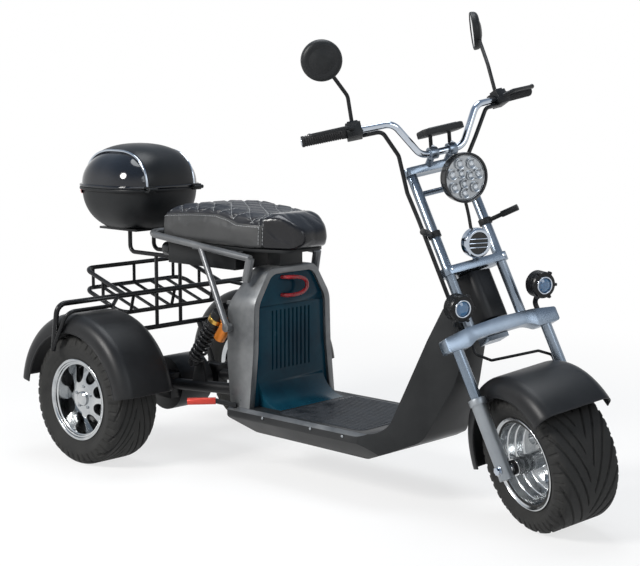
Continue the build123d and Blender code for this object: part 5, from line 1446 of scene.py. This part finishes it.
def buildFrontRim():
    half = frontRim["half"]
    other = [(radius, -along, corner) for radius, along, corner in reversed(half)]
    rim = ringLoop("frontRim", half + other, 144)
    pegs = []
    for index in range(frontRim["holes"]):
        turn = 2 * math.pi * index / frontRim["holes"]
        spot = (frontRim["holeAt"] * math.cos(turn), 0, frontRim["holeAt"] * math.sin(turn))
        peg = roundPeg(frontRim["holeRadius"], frontRim["holeDeep"], spot)
        pegs.append(moved(peg, peg.matrix_world.copy()))
    cutBy(rim, pegs)
    moved(smoothed(rim, 32), frontPlace)
    finished(rim, "front_wheel", "polishedAlloy", "rim_front")
    places = [frontPlace, frontPlace @ Matrix.Rotation(math.pi, 4, "Z")]
    tubes = repeated(ringLoop("spacerTube", frontRim["tube"], 56), places, "spacers_polishedAlloy")
    finished(tubes, "steering", "polishedAlloy", slot="silver")
    bushes = repeated(ringLoop("spacerBush", frontRim["bush"], 48), places, "spacers_satinBlack")
    finished(bushes, "steering", "satinBlack", slot="black_satin")


buildRearRims()
buildFrontRim()
print("wheels polished")


# Battery handle, and the lead from the headlight down to the horn

handle = {
    "face": 555.0, "radius": 0.0068, "steps": 60,
    "points": [(-2, -44, 668), (22, -40, 668), (30, -10, 668), (32, 22, 664), (34, 46, 650), (34, 46, 624),
               (32, 22, 610), (30, -10, 606), (22, -40, 606), (-2, -44, 606)],
}
lead = {"points": [(140, 0, 820), (122, 4, 770), (104, 4, 730), (96, 0, 690)], "radius": 0.0052, "steps": 40}


def buildHandle():
    path = smoothLine([at(handle["face"] + x, y, z) for x, y, z in handle["points"]], handle["steps"])
    loop = tubeAlong("handleLoop", path, handle["radius"], 16)
    finished(loop, "chassis", "redPlastic", "battery_handle")


def buildLampLead():
    path = smoothLine([onFork(*spot) for spot in lead["points"]], lead["steps"])
    finished(tubeAlong("lampLead", path, lead["radius"], 12), "steering", "tubeBlack", slot="black_plastic")


buildHandle()
buildLampLead()
print("handle and lead on")


# CAD pieces that keep their form and get softened edges

skins = {
    # node: finish, edge width
    "body_tub": ("tubGrey", 0.003), "seat_pillar": ("pillarGrey", 0.003), "pillar_panel": ("tealGloss", 0.0015),
    "floor_mat": ("matRubber", 0.001), "frame_neck": ("satinBlack", 0.002), "seat_pan": ("mouldedBlack", 0.002),
    "controller_box": ("mouldedBlack", 0.004), "seat_rail": ("railGrey", 0.0015),
    "tail_lamp": ("blackGloss", 0.003),
    "rear_subframe": ("tubeBlack", 0.001), "basket": ("tubeBlack", 0), "box_carrier": ("tubeBlack", 0.001),
    "rear_axle": ("satinBlack", 0.003), "swing_arm": ("satinBlack", 0.002),
    "reservoir_left": ("orangeMetal", 0.002), "reservoir_right": ("orangeMetal", 0.002),
    "fender_left": ("satinBlack", 0.0012), "fender_right": ("satinBlack", 0.0012),
    "footpeg_left": ("redMetal", 0.002), "footpeg_right": ("redMetal", 0.002),
    "top_yoke": ("silverPaint", 0.002), "fork_upper": ("silverPaint", 0.0015),
    "light_bar": ("silverPaint", 0.0025),
    "slider_left": ("castSilver", 0.002), "slider_right": ("castSilver", 0.002),
    "front_axle": ("polishedAlloy", 0.0015), "front_fender": ("satinBlack", 0.0012), "handlebar": ("chrome", 0),
    "control_left": ("mouldedBlack", 0.003), "control_right": ("mouldedBlack", 0.003),
    "mirror_left": ("mouldedBlack", 0.0015), "mirror_right": ("mouldedBlack", 0.0015),
    "display": ("mouldedBlack", 0.0015), "headlight": ("blackGloss", 0.0015), "horn": ("chrome", 0.001),
    "cables": ("tubeBlack", 0), "turn_signal_left": ("mouldedBlack", 0.002),
    "turn_signal_right": ("mouldedBlack", 0.002), "spot_lamp_left": ("tubeBlack", 0.001),
    "spot_lamp_right": ("tubeBlack", 0.001), "battery": ("mouldedBlack", 0.002),
}
pegBlackFrom = -0.272  # footpegs are black ahead of this
tubLitEdge = {"up": 0.25, "sideFrom": 0.25, "sideTo": 0.95}  # faces of the tub's edge that look up and sideways, where light falls: the paler grey there is a painted highlight


def dressed(node, finish, edge):
    piece = mended(cadCopy(node, node + "_skin"), cadGap, outward=False)
    if edge:
        bevelled(piece, edge)
    finished(smoothed(piece, 40), piece["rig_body"], finish, node)


def accent(node, finish, chosen):
    # a second finish on some faces of a skinned piece
    piece = bpy.data.objects[node + "_skin"]
    piece.data.materials.append(finishes[finish])
    for face in piece.data.polygons:
        if chosen(face.center, face.normal):
            face.material_index = 1


def onPegEnd(spot, way):
    return spot.x > pegBlackFrom


# picks the tub faces that look up and sideways, to give them a painted highlight in a paler grey
def onTubLitFace(spot, way):
    return way.z > tubLitEdge["up"] and tubLitEdge["sideFrom"] < abs(way.y) < tubLitEdge["sideTo"]


for node, (finish, edge) in skins.items():
    dressed(node, finish, edge)
accent("footpeg_left", "satinBlack", onPegEnd)
accent("footpeg_right", "satinBlack", onPegEnd)
# painted highlight: the tub's upward and sideways faces take the paler pillar grey where light falls on them
accent("body_tub", "pillarGrey", onTubLitFace)
print("skins on", len(skins), "pieces")
